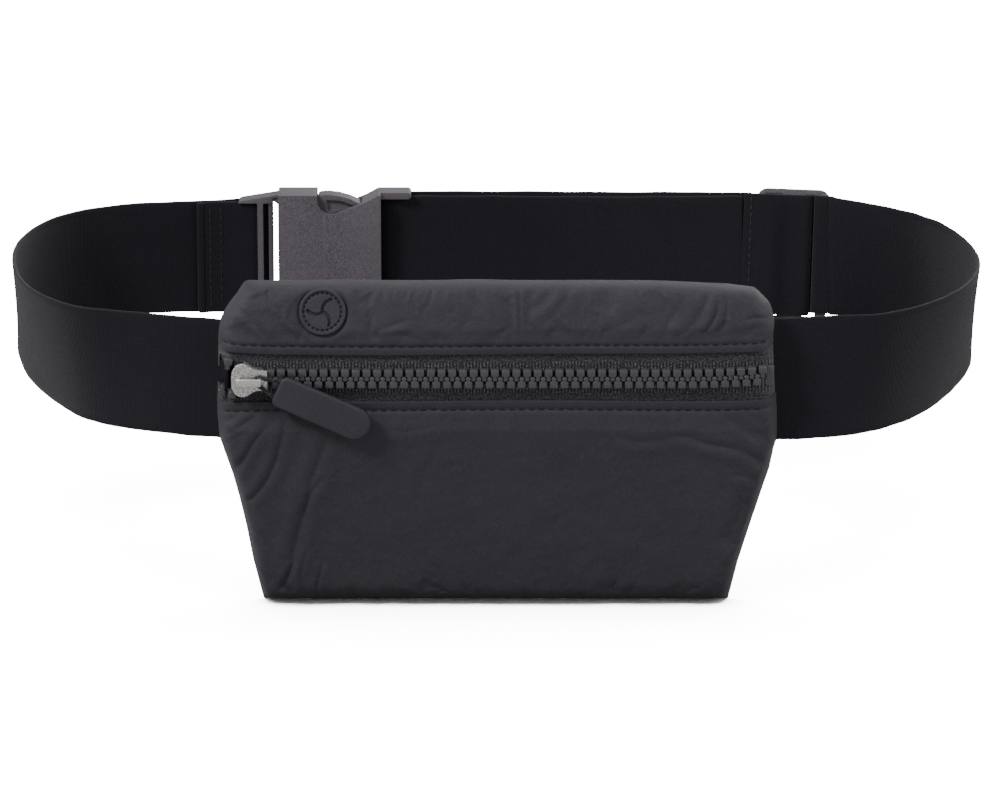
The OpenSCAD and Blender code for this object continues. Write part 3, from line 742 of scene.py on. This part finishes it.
def slack(name, upper, rows, hold, **cloth):
    """The simulated crumples of a front panel, which start from its larger creases."""
    v, u = np.meshgrid(np.linspace(0, 1, rows), np.linspace(-1, 1, 150), indexing="ij")
    x, z, _ = panel_points(u, v, upper, trim=2)
    start = folds(x, z, UPPER_FOLDS if upper else LOWER_FOLDS) * np.sin(np.pi * v) ** hold
    return buckled(name, x, BACK_Y - depth_at(u * 0.97, z) - 0.4 * start, z, **cloth)


def lower_panel():
    rows = np.concatenate([0.12 * (1 - edge_dense(0, 1, 24, 1.8))[::-1], np.linspace(0.12, 1, 126)[1:]])
    u, v = np.meshgrid(COLS, rows)
    x, z, top = panel_points(u, v, False)
    x = x + stray(u, z)
    extra = slack("sim_lower", False, 58, 0.5, growth=0.03, pressure=0.3, frames=24, cap=1.6)
    inside = share_of(1 - np.abs(u), 0.035) * np.clip(v / 0.05, 0, 1)
    held = share_of(top - z - 3.2, 9)
    lift = (folds(x, z, LOWER_FOLDS) + crinkle(x, z, 3)) * inside * (0.25 + 0.75 * held)
    lift += sample(extra, v, (u + 1) / 2) * inside * held
    lift += puckers(x, z, stitch_z(x, False), 11) * share_of(1 - np.abs(u), 0.02)
    edge = 0.35 * value_noise(x, z, 30, 5)
    z = z + edge * (1 - v)
    y = front_mid(u, z) - lift
    return shell("pouch_front_lower", np.stack([x, y, z], -1), 0.9, NYLON, flip=True)


def upper_panel():
    u, v = np.meshgrid(COLS, np.concatenate([np.linspace(0, 0.82, 44), edge_dense(0.82, 1.0, 18, 1.7)[1:]]))
    x, z, low = panel_points(u, v, True)
    x = x + stray(u, z)
    extra = slack("sim_upper", True, 22, 1, growth=0.026, pressure=0.2, frames=22, cap=1.1)
    near_port = share_of(np.hypot(x - PORT_X, z - PORT_Z) - PORT_R + 0.5, 4)
    inside = share_of(1 - np.abs(u), 0.035) * near_port
    held = share_of(z - low - 3.2, 7) * np.clip((TOP_Z - z) / 2.5, 0.12, 1)
    lift = (0.75 * folds(x, z, UPPER_FOLDS) + 0.8 * crinkle(x, z, 19)) * inside * (0.25 + 0.75 * held)
    lift += sample(extra, v, (u + 1) / 2) * inside * held
    lift += puckers(x, z, stitch_z(x, True), 23) * share_of(1 - np.abs(u), 0.02) * near_port
    lift += 0.45 * np.exp(-((np.hypot(x - PORT_X, z - PORT_Z) - PORT_R - 1.6) / 1.5) ** 2)
    y = front_mid(u, z) - lift * share_of(TOP_Z - z, 1.5)
    z = z + 0.5 * value_noise(x, 0 * z, 24, 9) * v ** 6 - top_slope(x, z)
    return shell("pouch_front_upper", np.stack([x, y, z], -1), 0.9, NYLON, flip=True)


def back_panel():
    u, v = np.meshgrid(np.linspace(-1, 1, 150), np.linspace(0, 1, 90))
    z = BOTTOM_Z + v * (TOP_Z - 0.3 - BOTTOM_Z)
    x = u * (width_at(z) - 0.2) + stray(u, z)
    inside = share_of(1 - np.abs(u), 0.05) * np.clip(v / 0.04, 0, 1) * share_of(1 - v, 0.04)
    lift = (1.1 * crinkle(x, z, 41) + 0.5 * value_noise(x, z, 45, 43)) * inside
    lift += crease(x, z, [(-112, -8), (-92, -22), (-70, -26)], 0.6, 3) * inside
    lift += crease(x, z, [(112, -8), (94, -24), (72, -30)], 0.6, 3) * inside
    lift += crease(x, z, [(30, 40), (22, 10), (-6, -30)], 0.5, 5) * inside
    y = BACK_Y + PANEL_T / 2 + np.clip(lift, -0.25, 1.6)
    z = z - top_slope(x, z)
    return shell("pouch_back", np.stack([x, y, z], -1), 0.9, NYLON)


def front_y(x, z):
    """The plain front's outer surface, without its folds."""
    return BACK_Y - depth_at(x / width_at(z), z) - PANEL_T


# ---- stitches ----
def surface_reader(obj):
    """Reads the y of an object's front at x, z, in millimetres."""
    tree = BVHTree.FromObject(obj, bpy.context.evaluated_depsgraph_get())

    def read(x, z):
        hit = tree.ray_cast(Vector((x * MM, -0.3, z * MM)), Vector((0, 1, 0)))[0]
        return hit.y / MM if hit else float(front_y(x, z))
    return read


def stitch_line(name, points, material, radius=0.28, length=2.6, gap=1.5, lift=0.05, facing=(0, -1, 0)):
    """A row of separate stitches along a dense line of surface points."""
    points = np.asarray(points, float)
    far = run_along(points)
    at = lambda d: np.array([np.interp(d, far, points[:, k]) for k in range(3)])
    facing = np.asarray(facing, float)
    stitches, d = [], 0.6
    while d + length < far[-1]:
        long = length * (1 + 0.12 * (RNG.random() - 0.5))
        path = []
        for t in np.linspace(0, 1, 7):
            sink = 0.34 * (2 * t - 1) ** 4
            path.append(at(d + long * t) + facing * (lift - sink))
        stitches.append(tube("stitch", path, radius, material, 6))
        d += long + gap
    return joined(name, stitches)


def across_front(z_of, reader):
    """Points of a line across the pouch's front, on a piece's surface, which ends 3 mm inside the side seams."""
    xs = np.linspace(3 - HALF_W, HALF_W - 3, 260)
    zs = z_of(xs)
    ys = np.array([reader(x, z) for x, z in zip(xs, zs)])
    return np.stack([xs, ys, zs], -1)


def make_pouch():
    lower = place(lower_panel(), "root", "pouch_nylon", "front_panel_lower")
    upper = place(upper_panel(), "root", "pouch_nylon", "front_panel_upper")
    back = place(back_panel(), "root", "pouch_nylon", "back_panel")
    for name, obj, upper_row in (("stitches_upper", upper, True), ("stitches_lower", lower, False)):
        line = across_front(lambda x: stitch_z(x, upper_row), surface_reader(obj))
        place(stitch_line(name, line, THREAD), "root", "pouch_nylon")


# ---- seam bindings inside ----
def make_bindings():
    """Bias tape over the raw edges inside the pouch: two sides and the bottom."""
    for side, sign in (("left", -1), ("right", 1)):
        step, z = np.meshgrid(np.linspace(0, 1, 7), np.linspace(BOTTOM_Z + 6.5, CORNER_Z - 0.5, 70))
        x = sign * (width_at(z) - (2.6 + step * 3.2))
        tape = shell("binding_" + side, np.stack([x, BACK_Y - 0.55 + 0.06 * np.sin(z / 1.7), z], -1), 0.8, BINDING)
        place(tape, "root", "binding", "seam_binding_" + side)
    step, x = np.meshgrid(np.linspace(0, 1, 7), np.linspace(-92, 92, 160))
    edge = np.stack([x, BACK_Y - 0.5 + 0.06 * np.sin(x / 1.7), BOTTOM_Z + 2.6 + step * 3.0], -1)
    place(shell("binding_bottom", edge, 0.7, BINDING), "root", "binding", "seam_binding_bottom")


# ---- zip ----
def parting(x):
    """How far each row stands off the closed chain."""
    x = np.asarray(x, float)
    t = share_of(SLIDER_X + SLIDER_LEN - x, SLIDER_LEN - 2)
    return np.where(x < SLIDER_X + 2, 4.6, 2.1 * t)


def soft_parting(x):
    t = share_of(SLIDER_X + SLIDER_LEN - np.asarray(x, float), SLIDER_LEN + 1)
    return 4.3 * t * t * (3 - 2 * t)


def set_back(x):
    return DEPTH - depth_at(np.asarray(x, float) / HALF_W, ZIP_Z)


def zip_drift(x):
    """How the chain strays from its straight line: drawn up towards the right seam."""
    return 1.8 * share_of(np.asarray(x, float) - 78, 38) ** 2


def make_tape(name, node, sign):
    u = mirrored(edge_dense(0.96, 0.998, 8), 230)
    x = u[:, None] * HALF_W * np.ones(22)
    share = np.linspace(0, 1, 22)[None, :] ** 0.9
    inner = 1.35 + soft_parting(x)
    outer = FLAP_GAP + 6.0
    out = inner + share * (outer - inner)
    z = ZIP_Z + sign * out + zip_drift(x) * (1 - share)
    shown = share_of(FLAP_GAP - out, 3) * share_of(out - 4.4, 1.5)
    wave = (0.55 * value_noise(x, 2.2 * out, 17, 51 + sign) + 0.35 * value_noise(x, 3 * out, 7, 57 + sign)) * shown
    behind = np.minimum(front_mid(u[:, None], np.clip(z, -60, 40)) + 1.02, BACK_Y + 0.55)
    y = behind - np.clip(wave, -0.9, 0.32)
    x = x + stray(u[:, None], z)
    obj = shell(name, np.stack([x, y, z], -1), 0.55, TAPE, flip=sign < 0)
    ways = np.zeros(len(obj.data.vertices) * 3, np.float32)
    obj.data.vertices.foreach_get("co", ways)
    ways = ways.reshape(-1, 3)
    own = np.stack([ways[:, 0], np.abs(ways[:, 2] - ZIP_Z * MM), ways[:, 1] * 0], -1)
    obj.data.attributes["weave"].data.foreach_set("vector", own.ravel())
    place(obj, "root", "zip_tape", node)
    return obj


# Half a tooth's outline: half-width and distance from the chain's centre line, which its head passes
TOOTH = [(0.0, -0.93), (0.42, -0.9), (0.78, -0.76), (1.0, -0.52), (1.05, -0.28), (0.97, -0.05), (0.84, 0.2),
         (0.76, 0.45), (0.8, 0.68), (1.02, 0.92), (1.42, 1.14), (1.62, 1.4), (1.66, 1.7), (1.66, 3.55), (1.52, 3.85),
         (1.2, 3.95)]


def make_teeth(name, node, sign, stagger):
    outline = np.array(TOOTH + [(-w, v) for w, v in TOOTH[:0:-1]])
    n = len(outline)
    points, faces = [], []
    centre = np.array([0.0, 1.9])
    for i in range(TEETH):
        x = FIRST_TOOTH_X + stagger + i * PITCH
        back = float(set_back(x))
        front = TOOTH_FRONT + back + 0.05 * (RNG.random() - 0.5)
        rear = TOOTH_BACK + back
        lift = float(parting(x)) + sign * float(zip_drift(x))
        turn = math.radians(2.2) * (RNG.random() - 0.5) + (sign * math.radians(-9) if x < SLIDER_X + 2 else 0)
        spin = np.array([[math.cos(turn), -math.sin(turn)], [math.sin(turn), math.cos(turn)]])
        base = len(points)
        for y, inset in ((front, 0.30), (front + 0.1, 0.13), (front + 0.32, 0.0), (rear, 0.0)):
            toward = unit(centre - outline) * inset
            for w, v in (outline + toward) @ spin.T:
                points.append([x + w, y, ZIP_Z + sign * (v + lift)])
        faces += loop_faces(4, n, base)
        faces.append([base + k for k in range(n)])
        faces.append([base + 3 * n + k for k in range(n - 1, -1, -1)])
    obj = mesh_from(name, points, faces, RESIN)
    smooth_by_angle(obj.data, 40)
    return place(obj, "root", "zip_resin", node)


def make_zip():
    make_tape("tape_upper", "zip_tape_upper", 1)
    make_tape("tape_lower", "zip_tape_lower", -1)
    make_teeth("teeth_upper", "zip_teeth_upper", 1, 0)
    make_teeth("teeth_lower", "zip_teeth_lower", -1, -PITCH / 2)
    moulded("zip_top_stops", "top_stops", "root", "zip_resin", RESIN, width=0.12)
    moulded("zip_bottom_stop", "bottom_stop", "root", "zip_resin", RESIN, width=0.5)


# ---- slider and pull ----
def slider_outline(inset=0.0):
    """A pear: round at the wide end, drawn in with hollow flanks to a squared narrow end."""
    half = [(0, 0), (0.05, 2.2), (0.7, 4.5), (2.2, 6.4), (4.4, 7.2), (6.2, 6.9), (7.8, 5.9), (9.4, 4.9), (11.2, 4.45),
            (13.2, 4.4), (14.6, 4.3), (15, 3.9)]
    curve = spline([(x, z, 0) for x, z in half], 5)[:, :2]
    centre = np.array([SLIDER_LEN / 2, 0])
    curve = curve + unit(centre - curve) * inset
    curve[:, 0] += SLIDER_X
    return [(x, ZIP_Z + z) for x, z in curve] + [(x, ZIP_Z - z) for x, z in curve[:0:-1]]


def make_slider():
    plate = prism("plate", slider_outline(), PLATE_FRONT, PLATE_BACK, METAL, 0.5)
    rear = prism("rear", [p for p in slider_outline(0.6) if p[0] > SLIDER_X + 3.4], REAR_FRONT, REAR_BACK, METAL, 0.3)
    post = prism("post", [(SLIDER_X + 2.2, ZIP_Z - 0.8), (SLIDER_X + 4, ZIP_Z - 0.8), (SLIDER_X + 4, ZIP_Z + 0.8),
                          (SLIDER_X + 2.2, ZIP_Z + 0.8)], PLATE_BACK - 0.3, REAR_FRONT + 0.3, METAL, 0.0)
    walls = []
    for sign in (1, -1):
        inner, outer = ([(x, z) for x, z in slider_outline(inset)
                         if (z - ZIP_Z) * sign > 0 and SLIDER_X + 5 < x < SLIDER_X + 13.4] for inset in (0.95, 0.1))
        walls.append(prism("wall", outer + inner[::-1], PLATE_BACK - 0.3, ZIP_Y - 0.4, METAL, 0.12))
    place(joined("slider", [plate, rear, post, *walls]), "slider", "slider_metal", "slider_body")

    foot, top = PLATE_FRONT + 0.3, PLATE_FRONT - 2.6
    left, right = SLIDER_X + 1.8, PULL_X + 0.9
    profile = [(left, foot), (left - 0.05, top - 0.2), (left + 0.5, top - 1.1), (left + 1.3, top - 1.4),
               (right - 1.0, top - 1.4), (right - 0.2, top - 1.1), (right, top - 0.4), (right, foot),
               (right - 1.7, foot), (right - 1.7, top), (left + 2, top), (left + 2, foot)]
    bail = prism("bail", profile, ZIP_Z - 1.6, ZIP_Z + 1.6, BRIGHT_METAL, 0.35, axis=2, sharp=0.4)
    place(bail, "slider", "slider_metal", "slider_bail")


def pull_point(along, across, y):
    """A point in the pull's own directions: along it from the swivel, and across it upwards."""
    c, s = math.cos(TAB_ANGLE), math.sin(TAB_ANGLE)
    return [PULL_X + along * c + across * s, y, ZIP_Z - along * s + across * c]


def make_pull():
    loop = [(TAB_GAP + 0.6, 3.5), (TAB_GAP - 1.5, 3.3), (4.5, 2.7), (1.8, 2.05)]
    loop += [(-1.85 * math.sin(a), 1.85 * math.cos(a)) for a in np.linspace(0.25, math.pi - 0.25, 9)]
    loop += [(1.8, -2.05), (4.5, -2.7), (TAB_GAP - 1.5, -3.3), (TAB_GAP + 0.6, -3.5)]
    path = [pull_point(a, w, CORD_Y) for a, w in loop]
    place(tube("cord_loop", spline(path, 5), 0.78, CORD, 14), "pull_loop", "cord", "pull_cord")

    half = TAB_W / 2
    end = TAB_GAP + TAB_LEN - half
    outline = [(end + half * math.cos(a), half * math.sin(a)) for a in np.linspace(-math.pi / 2, math.pi / 2, 33)]
    corner = [(TAB_CORNER * (1 - math.sin(a)), TAB_CORNER * (1 - math.cos(a))) for a in np.linspace(0, math.pi / 2, 8)]
    outline += [(TAB_GAP + a, half - 0.25 - b) for a, b in corner] + [(TAB_GAP + b, 0.25 - half + a) for a, b in corner]
    flat = [pull_point(a, w, 0)[::2] for a, w in outline]
    place(prism("tab", flat, TAB_BACK - TAB_T, TAB_BACK, RUBBER, 1.05, 5), "tab", "soft_rubber", "pull_tab")


# ---- earphone port ----
def make_port():
    """A rubber disc with a raised rim, a stitched groove and three curved slits, as one relief."""
    turns = 220
    radii = np.concatenate([np.linspace(0.0, 7.2, 34)[1:], np.linspace(7.2, PORT_R, 31)[1:]])
    angle = np.linspace(0, 2 * math.pi, turns, endpoint=False)
    r, a = np.meshgrid(radii, angle, indexing="ij")
    x, y = r * np.cos(a), r * np.sin(a)
    height = np.full(r.shape, PORT_T - 0.62)
    rim = share_of(r - 8.35, 0.35)
    height += 0.62 * rim * rim * (3 - 2 * rim)
    dash = share_of(np.cos(24 * a) + 0.45, 0.5)
    height -= (0.18 + 0.5 * dash) * np.exp(-((r - 7.8) / 0.34) ** 2)
    height += 0.1 * np.exp(-((r - 5.5) / 2.5) ** 2)
    out = share_of(r - (PORT_R - 0.55), 0.55)
    height -= 0.55 * (1 - np.sqrt(np.clip(1 - out ** 2, 0, 1)))
    bow = 3.1
    bend = bow * math.sqrt(2)
    for turn in (55, 175, 295):
        t = -math.radians(turn)
        lx, ly = x * math.cos(t) - y * math.sin(t), x * math.sin(t) + y * math.cos(t)
        off = np.abs(np.hypot(lx - bow, ly + bow) - bend)
        within = (lx > -0.35) & (lx < 6.2) & (ly > -0.6)
        off = np.where(within, off, np.minimum(np.hypot(lx, ly), np.hypot(lx - 6.2, ly)))
        height -= 1.0 * (1 - share_of(off - 0.46, 0.18))
    height = np.maximum(height, 0.12)
    centre = np.array([PORT_X, float(BACK_Y - depth_at(0, PORT_Z)) - PANEL_T * 1.06, PORT_Z])
    right, up = np.array([1, 0, 0]), np.array([0, math.sin(LEAN_ANGLE), math.cos(LEAN_ANGLE)])
    out_dir = np.array([0, -math.cos(LEAN_ANGLE), math.sin(LEAN_ANGLE)])

    def lay(px, py, h):
        return centre + np.multiply.outer(px, right) + np.multiply.outer(py, up) + np.multiply.outer(h, out_dir)

    skirt = lay(x[-1], y[-1], np.zeros(turns))
    points = np.vstack([lay(0, 0, 0.12), lay(x, y, height).reshape(-1, 3), skirt, lay(0, 0, 0)])
    last = 1 + len(radii) * turns
    faces = loop_faces(len(radii) + 1, turns, 1)
    faces += [(hub, first + k, first + (k + 1) % turns) for hub, first in ((0, 1), (last + turns, last))
              for k in range(turns)]
    port = mesh_from("port", points, faces, RUBBER)
    smooth_by_angle(port.data, 50)
    place(port, "root", "soft_rubber", "earphone_port")

    ring = [lay(7.8 * math.cos(t), 7.8 * math.sin(t), PORT_T - 1.12) for t in np.linspace(0, 2 * math.pi, 241)]
    place(stitch_line("port_stitches", ring, THREAD, radius=0.2, length=1.1, gap=0.53, lift=0.0, facing=out_dir),
          "root", "pouch_nylon")

    t = np.linspace(0, 2 * math.pi, 97)
    band = np.array([[lay(rad * math.cos(s), rad * math.sin(s), -2.05) for rad in (6.0, 6.6, 7.0)] for s in t])
    place(shell("port_backing_ring", band, 0.7, BINDING), "root", "binding", "port_backing")


# ---- belt ----
LEFT_TOP = [(-112, -102.4, 25), (-117.2, -99.6, 25), (-150, -90, 25), (-180, -78, 25), (-201, -46, 25),
            (-209, 0, 25), (-204, 40, 24.6), (-190, 67, 24), (-170, 82, 23.6), (-150, 88, 23.2), (-130, 91.4, 23),
            (-121, 93.2, 23), (-113, 95, 23), (-106.4, 95.6, 23)]
LEFT_BOTTOM = [(-112, -103, -25), (-117.2, -101, -25), (-147, -92, -25), (-175, -74, -25), (-196, -34, -25),
               (-206, 0, -25), (-210, 38, -25.4), (-199, 64, -26), (-181, 79, -26.5), (-160, 86.8, -27),
               (-135, 90.6, -27), (-121, 93, -27), (-113, 95, -27), (-106.4, 95.6, -27)]
LEFT_TAIL = [(MALE_BAR[0], MALE_BAR[1] - MALE_BAR_R), (-113, 89.9), (-121, 90.2), (-127, 89.6), (-133, 88.5)]
RIGHT_TOP = [(150.4, 91), (174, 74), (191, 57), (203, 30), (208.5, -5), (204, -38), (189, -68), (165, -90),
             (140, -95), (117.2, -99.6), (112, -102.4)]
RIGHT_BOTTOM = [(150.4, 78), (173, 75), (193, 63), (205, 39), (207.5, 9), (200, -24), (184, -62), (165, -87),
                (142, -100), (117.2, -104), (112, -105)]
OUTER_TOP = [(-46.2, 99.7), (0, 100), (50, 98.6), (90, 98.6), (114.6, 97.2)]
OUTER_BOTTOM = [(-46.2, 99.7), (0, 97), (50, 90.8), (90, 86), (114.6, 83.2)]
INNER_TOP = [(-46.2, 92.7, 25), (0, 95.6, 24), (50, 94.6, 23.9), (90, 94.8, 24), (110.2, 93.8, 24.4)]
INNER_BOTTOM = [(-46.2, 92.7), (0, 92), (50, 86.6), (90, 82), (110.2, 79.8)]
WEAVE = [(17.9, -2.8), (12.3, -2.8), (10.9, -2.5), (10.4, -1.2), (10, 1.6), (8.4, 4), (5.5, 4.8), (-5.5, 4.8),
         (-8.4, 4), (-10, 1.6), (-10.4, -1.2), (-10.9, -2.5), (-12.3, -2.8), (-17, -2.8)]
LOOP = [(-20.8, -6.9), (-10.5, -6.9), (-7, -5.9), (-3.5, -3.7), (0, -2.9), (5.2, -2.8), (7.2, -2), (8, 0), (7.2, 2),
        (5.2, 2.75), (-5.2, 2.75), (-7.2, 1.6), (-8, -1.2), (-8.9, -3.6), (-11.2, -4.85), (-20.8, -4.9)]
GLIDE = (Matrix.Translation((133, 90, -1.5)) @ Matrix.Rotation(math.radians(-8), 4, "Z")
         @ Matrix.Rotation(math.radians(-15.6), 4, "X"))
GLIDE_EDGE = 26.5       # the elastic's upper edge in the adjuster's own frame
ACROSS = 26             # points across an elastic


def plan_arc(centre, radius, start, end, steps, z, reach=1.0):
    """A turn round a bar, stretched along X by reach."""
    return [(centre[0] + reach * radius * math.cos(a), centre[1] + radius * math.sin(a), z)
            for a in np.radians(np.linspace(start, end, steps))]


def even(path, n):
    """A path resampled to n evenly spaced points."""
    far = run_along(path)
    return np.stack([np.interp(np.linspace(0, far[-1], n), far, path[:, k]) for k in range(3)], -1)


def belt_edge(points, n, z=None):
    """A belt's edge through the points, all at height z if it is given, as n evenly spaced points."""
    return even(spline(points if z is None else [(x, y, z) for x, y in points], 9), n)


def belt_mid(top, bottom, seed, stray=0.35):
    """The belt's middle surface between an upper and a lower edge, with slightly uneven selvedges."""
    share = np.linspace(0, 1, ACROSS)[None, :, None]
    top, bottom = np.asarray(top, float)[:, None, :], np.asarray(bottom, float)[:, None, :]
    mid = top + (bottom - top) * share
    rows = np.arange(len(mid))
    edge = np.array([[noise.noise(Vector((r * 0.16, seed, k * 5.1))) for k in (0, 1)] for r in rows]) * stray
    s = share[0, :, 0]
    mid[:, :, 2] += edge[:, :1] * (1 - s) ** 6 + edge[:, 1:] * s ** 6
    return mid


def belt(name, top, bottom, seed, body, nodes, flip=False, stray=0.35):
    obj = shell(name, belt_mid(top, bottom, seed, stray), BELT_T - 0.1, ELASTIC, flip)
    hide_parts(*nodes)
    if body:
        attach(obj, body)
    return obj


def selvedge_stitches(name, mid, normal, row_share, lift, material):
    """A row of stitches straight across a belt, at a share of its length."""
    row = row_share * (len(mid) - 1)
    i, t = min(int(row), len(mid) - 2), row - min(int(row), len(mid) - 2)
    line = mid[i] + (mid[i + 1] - mid[i]) * t
    n = np.asarray(normal, float)
    return stitch_line(name, even(line[1:-1] + n * lift, 60), material, radius=0.27, length=2.4, gap=1.2, lift=0.0,
                       facing=n)


def make_left_belt():
    edges, tail = [], []
    for points, z in ((LEFT_TOP, 23), (LEFT_BOTTOM, -27)):
        turn = plan_arc(MALE_BAR, MALE_BAR_R, 90, -90, 15, z, MALE_REACH)[1:-1]
        tail.append(spline([(x, y, z) for x, y in LEFT_TAIL], 7))
        edges.append(np.vstack([belt_edge(points, 170), turn, tail[-1]]))
    top, bottom = edges
    obj = belt("belt_left_strap", top, bottom, 3.3, None, ["belt_left", "belt_left_hem"], flip=True)
    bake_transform(obj)
    tail_mid = belt_mid(*tail, 3.3)
    seams = [selvedge_stitches("seam", tail_mid, (0, -1, 0), share, BELT_T / 2 + 0.1, BELT_THREAD)
             for share in (0.80, 0.60)]
    place(joined("hem_stitches", seams), "male_half", "elastic")
    fold = [tail_mid[-1] + np.array([0.4 - 0.9 * math.cos(a), -0.55 * math.sin(a) - 0.4, 0])
            for a in np.linspace(-0.4, 2.4, 7)]
    place(shell("hem_ridge", fold, 1.2, ELASTIC), "male_half", "elastic")


def make_right_belt():
    top, bottom = belt_edge(RIGHT_TOP, 150, BELT_HALF), belt_edge(RIGHT_BOTTOM, 150, -BELT_HALF)
    obj = belt("belt_right_strap", top, bottom, 6.1, None, ["belt_right"], flip=True)
    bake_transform(obj)


def make_doubled_belt():
    top, bottom = belt_edge(OUTER_TOP, 90, BELT_HALF), belt_edge(OUTER_BOTTOM, 90, -BELT_HALF)
    outer = belt("belt_outer_strap", top, bottom, 9.4, "root", ["belt_outer_layer"], stray=0.25)
    turns = [plan_arc(FEMALE_BAR, FEMALE_BAR_R, 92, 270, 17, z, FEMALE_REACH)[:-1] for z in (BELT_HALF, -BELT_HALF)]
    top = np.vstack([turns[0], belt_edge(INNER_TOP, 84)])
    bottom = np.vstack([turns[1], belt_edge(INNER_BOTTOM, 84, -BELT_HALF)])
    inner = belt("belt_inner_strap", top, bottom, 12.8, "root", ["belt_inner_layer"], flip=True, stray=0.3)
    for obj, end in ((outer, OUTER_TOP[-1][0]), (inner, INNER_TOP[-1][0])):
        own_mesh(obj)


def on_glide(points, low):
    """Upper and lower edges of a strip that threads the adjuster."""
    return [np.array([list(GLIDE @ Vector((x, y, z))) for x, y, _ in points]) for z in (GLIDE_EDGE, low)]


def make_adjuster():
    moulded("strap_adjuster", "adjuster_frame", "adjuster", "buckle_plastic", PLASTIC, width=0.75, segments=4)
    for name, node, route, seed, low in (("belt_weave_strap", "belt_weave", WEAVE, 15.2, -24.6),
                                         ("belt_end_strap", "belt_end_loop", LOOP, 18.9, -25.9)):
        plan = spline([(x, y, 0) for x, y in route], 6)
        top, bottom = on_glide(plan, low)
        obj = belt(name, top, bottom, seed, "adjuster", [node], flip=True, stray=0.2)
    face = -6.9 - BELT_T / 2 - 0.12
    line = [list(GLIDE @ Vector((-18.2, face, z))) for z in np.linspace(26, -23, 80)]
    seam = stitch_line("seam", line, BELT_THREAD, radius=0.26, length=2.4, gap=1.2, lift=0.0)
    place(joined("end_stitches", [seam]), "adjuster", "elastic")


# ---- buckle ----
BUCKLE_Z, MOUTH_X, STEP_X = -2.0, -97.6, -79.6
RECESS = {(3.4, 22.6): (4.4, 22.0), (2.6, 26.8): (3.6, 27.1), (8, 27): (10, 26.7), (15.4, 24.4): (17.2, 24.0)}


def latch_point(x, y, z):
    """The arm's visible root is a thin web under the rail, and its thumb pad has a wider recess."""
    side = 1 if z > BUCKLE_Z else -1
    high = abs(z - BUCKLE_Z)
    for (a, b), (c, d) in RECESS.items():
        if abs(x - STEP_X - a) < 0.15 and abs(high - b) < 0.15:
            return (STEP_X + c, y, BUCKLE_Z + side * d)
    if x < -94:
        high = 27.5 - (27.5 - high) * (0.25 + 0.75 * min(max((x + 98) / 4, 0), 1))
    return (x, y, BUCKLE_Z + side * high)


def rail_point(x, y, z):
    """The male half's rails close up to the female half's mouth."""
    near = abs(x - MOUTH_X + 0.3) < 0.12 and abs(z - BUCKLE_Z) > 25
    return (MOUTH_X - 0.03 if near else x, y, z)


def make_buckle():
    for node, name, body, width, moved in (("buckle_female", "buckle_female_half", "root", 0.6, None),
                                           ("buckle_male", "buckle_male_half", "male_half", 0.3, rail_point),
                                           ("latch_arm_upper", "latch_upper", "upper_arm", 0.4, latch_point),
                                           ("latch_arm_lower", "latch_lower", "lower_arm", 0.4, latch_point)):
        moulded(node, name, body, "buckle_plastic", PLASTIC, width=width, moved=moved)


FLOOR_SUN, FLOOR_SUN_SPREAD, WORLD = 60.0, 70, 0.46
# Name, place and aim in metres, diameter in metres, watts
LIGHTS = [("key", (-1.5, -1.1, 1.7), (0, -0.05, 0), 0.6, 42), ("fill", (1.5, -1.2, 0.9), (0, -0.05, 0), 1.2, 10),
          ("behind", (0.9, 1.9, 0.8), (0, 0, 0), 1.4, 14), ("left_side", (-2.0, 0.3, 0.6), (-0.1, 0, 0), 1.2, 9),
          ("right_side", (2.0, 0.3, 0.6), (0.1, 0, 0), 1.2, 9), ("top", (0.1, 0.35, 2.0), (0, 0, 0), 1.3, 11)]


def make_stage():
    """A pale floor, which a sun that reaches nothing else lights to white, and soft studio light."""
    floor_z = BOTTOM_Z - 0.8
    size = 6.0
    xs = np.linspace(-size, size, 3)
    points = [(x / MM, y / MM, floor_z) for y in xs for x in xs]
    faces = [(r * 3 + c, r * 3 + c + 1, r * 3 + c + 4, r * 3 + c + 3) for r in range(2) for c in range(2)]
    ground = mesh_from("ground", points, faces, FLOOR)
    only_floor = bpy.data.collections.new("lit_floor")
    only_floor.objects.link(ground)
    sky = bpy.data.lights.new("floor_light", "SUN")
    sky.energy, sky.angle = FLOOR_SUN, math.radians(FLOOR_SUN_SPREAD)
    over = bpy.data.objects.new("floor_light", sky)
    bpy.context.collection.objects.link(over)
    over.light_linking.receiver_collection = only_floor
    world = bpy.data.worlds.new("world")
    bpy.context.scene.world = world
    world.use_nodes = True
    background = world.node_tree.nodes["Background"]
    background.inputs[0].default_value = (1.0, 0.995, 0.99, 1)
    background.inputs[1].default_value = WORLD
    for light in LIGHTS:
        area_light(*light)


make_camera()
make_stage()
make_pouch()
make_bindings()
make_zip()
make_slider()
make_pull()
make_port()
make_left_belt()
make_right_belt()
make_doubled_belt()
make_adjuster()
make_buckle()
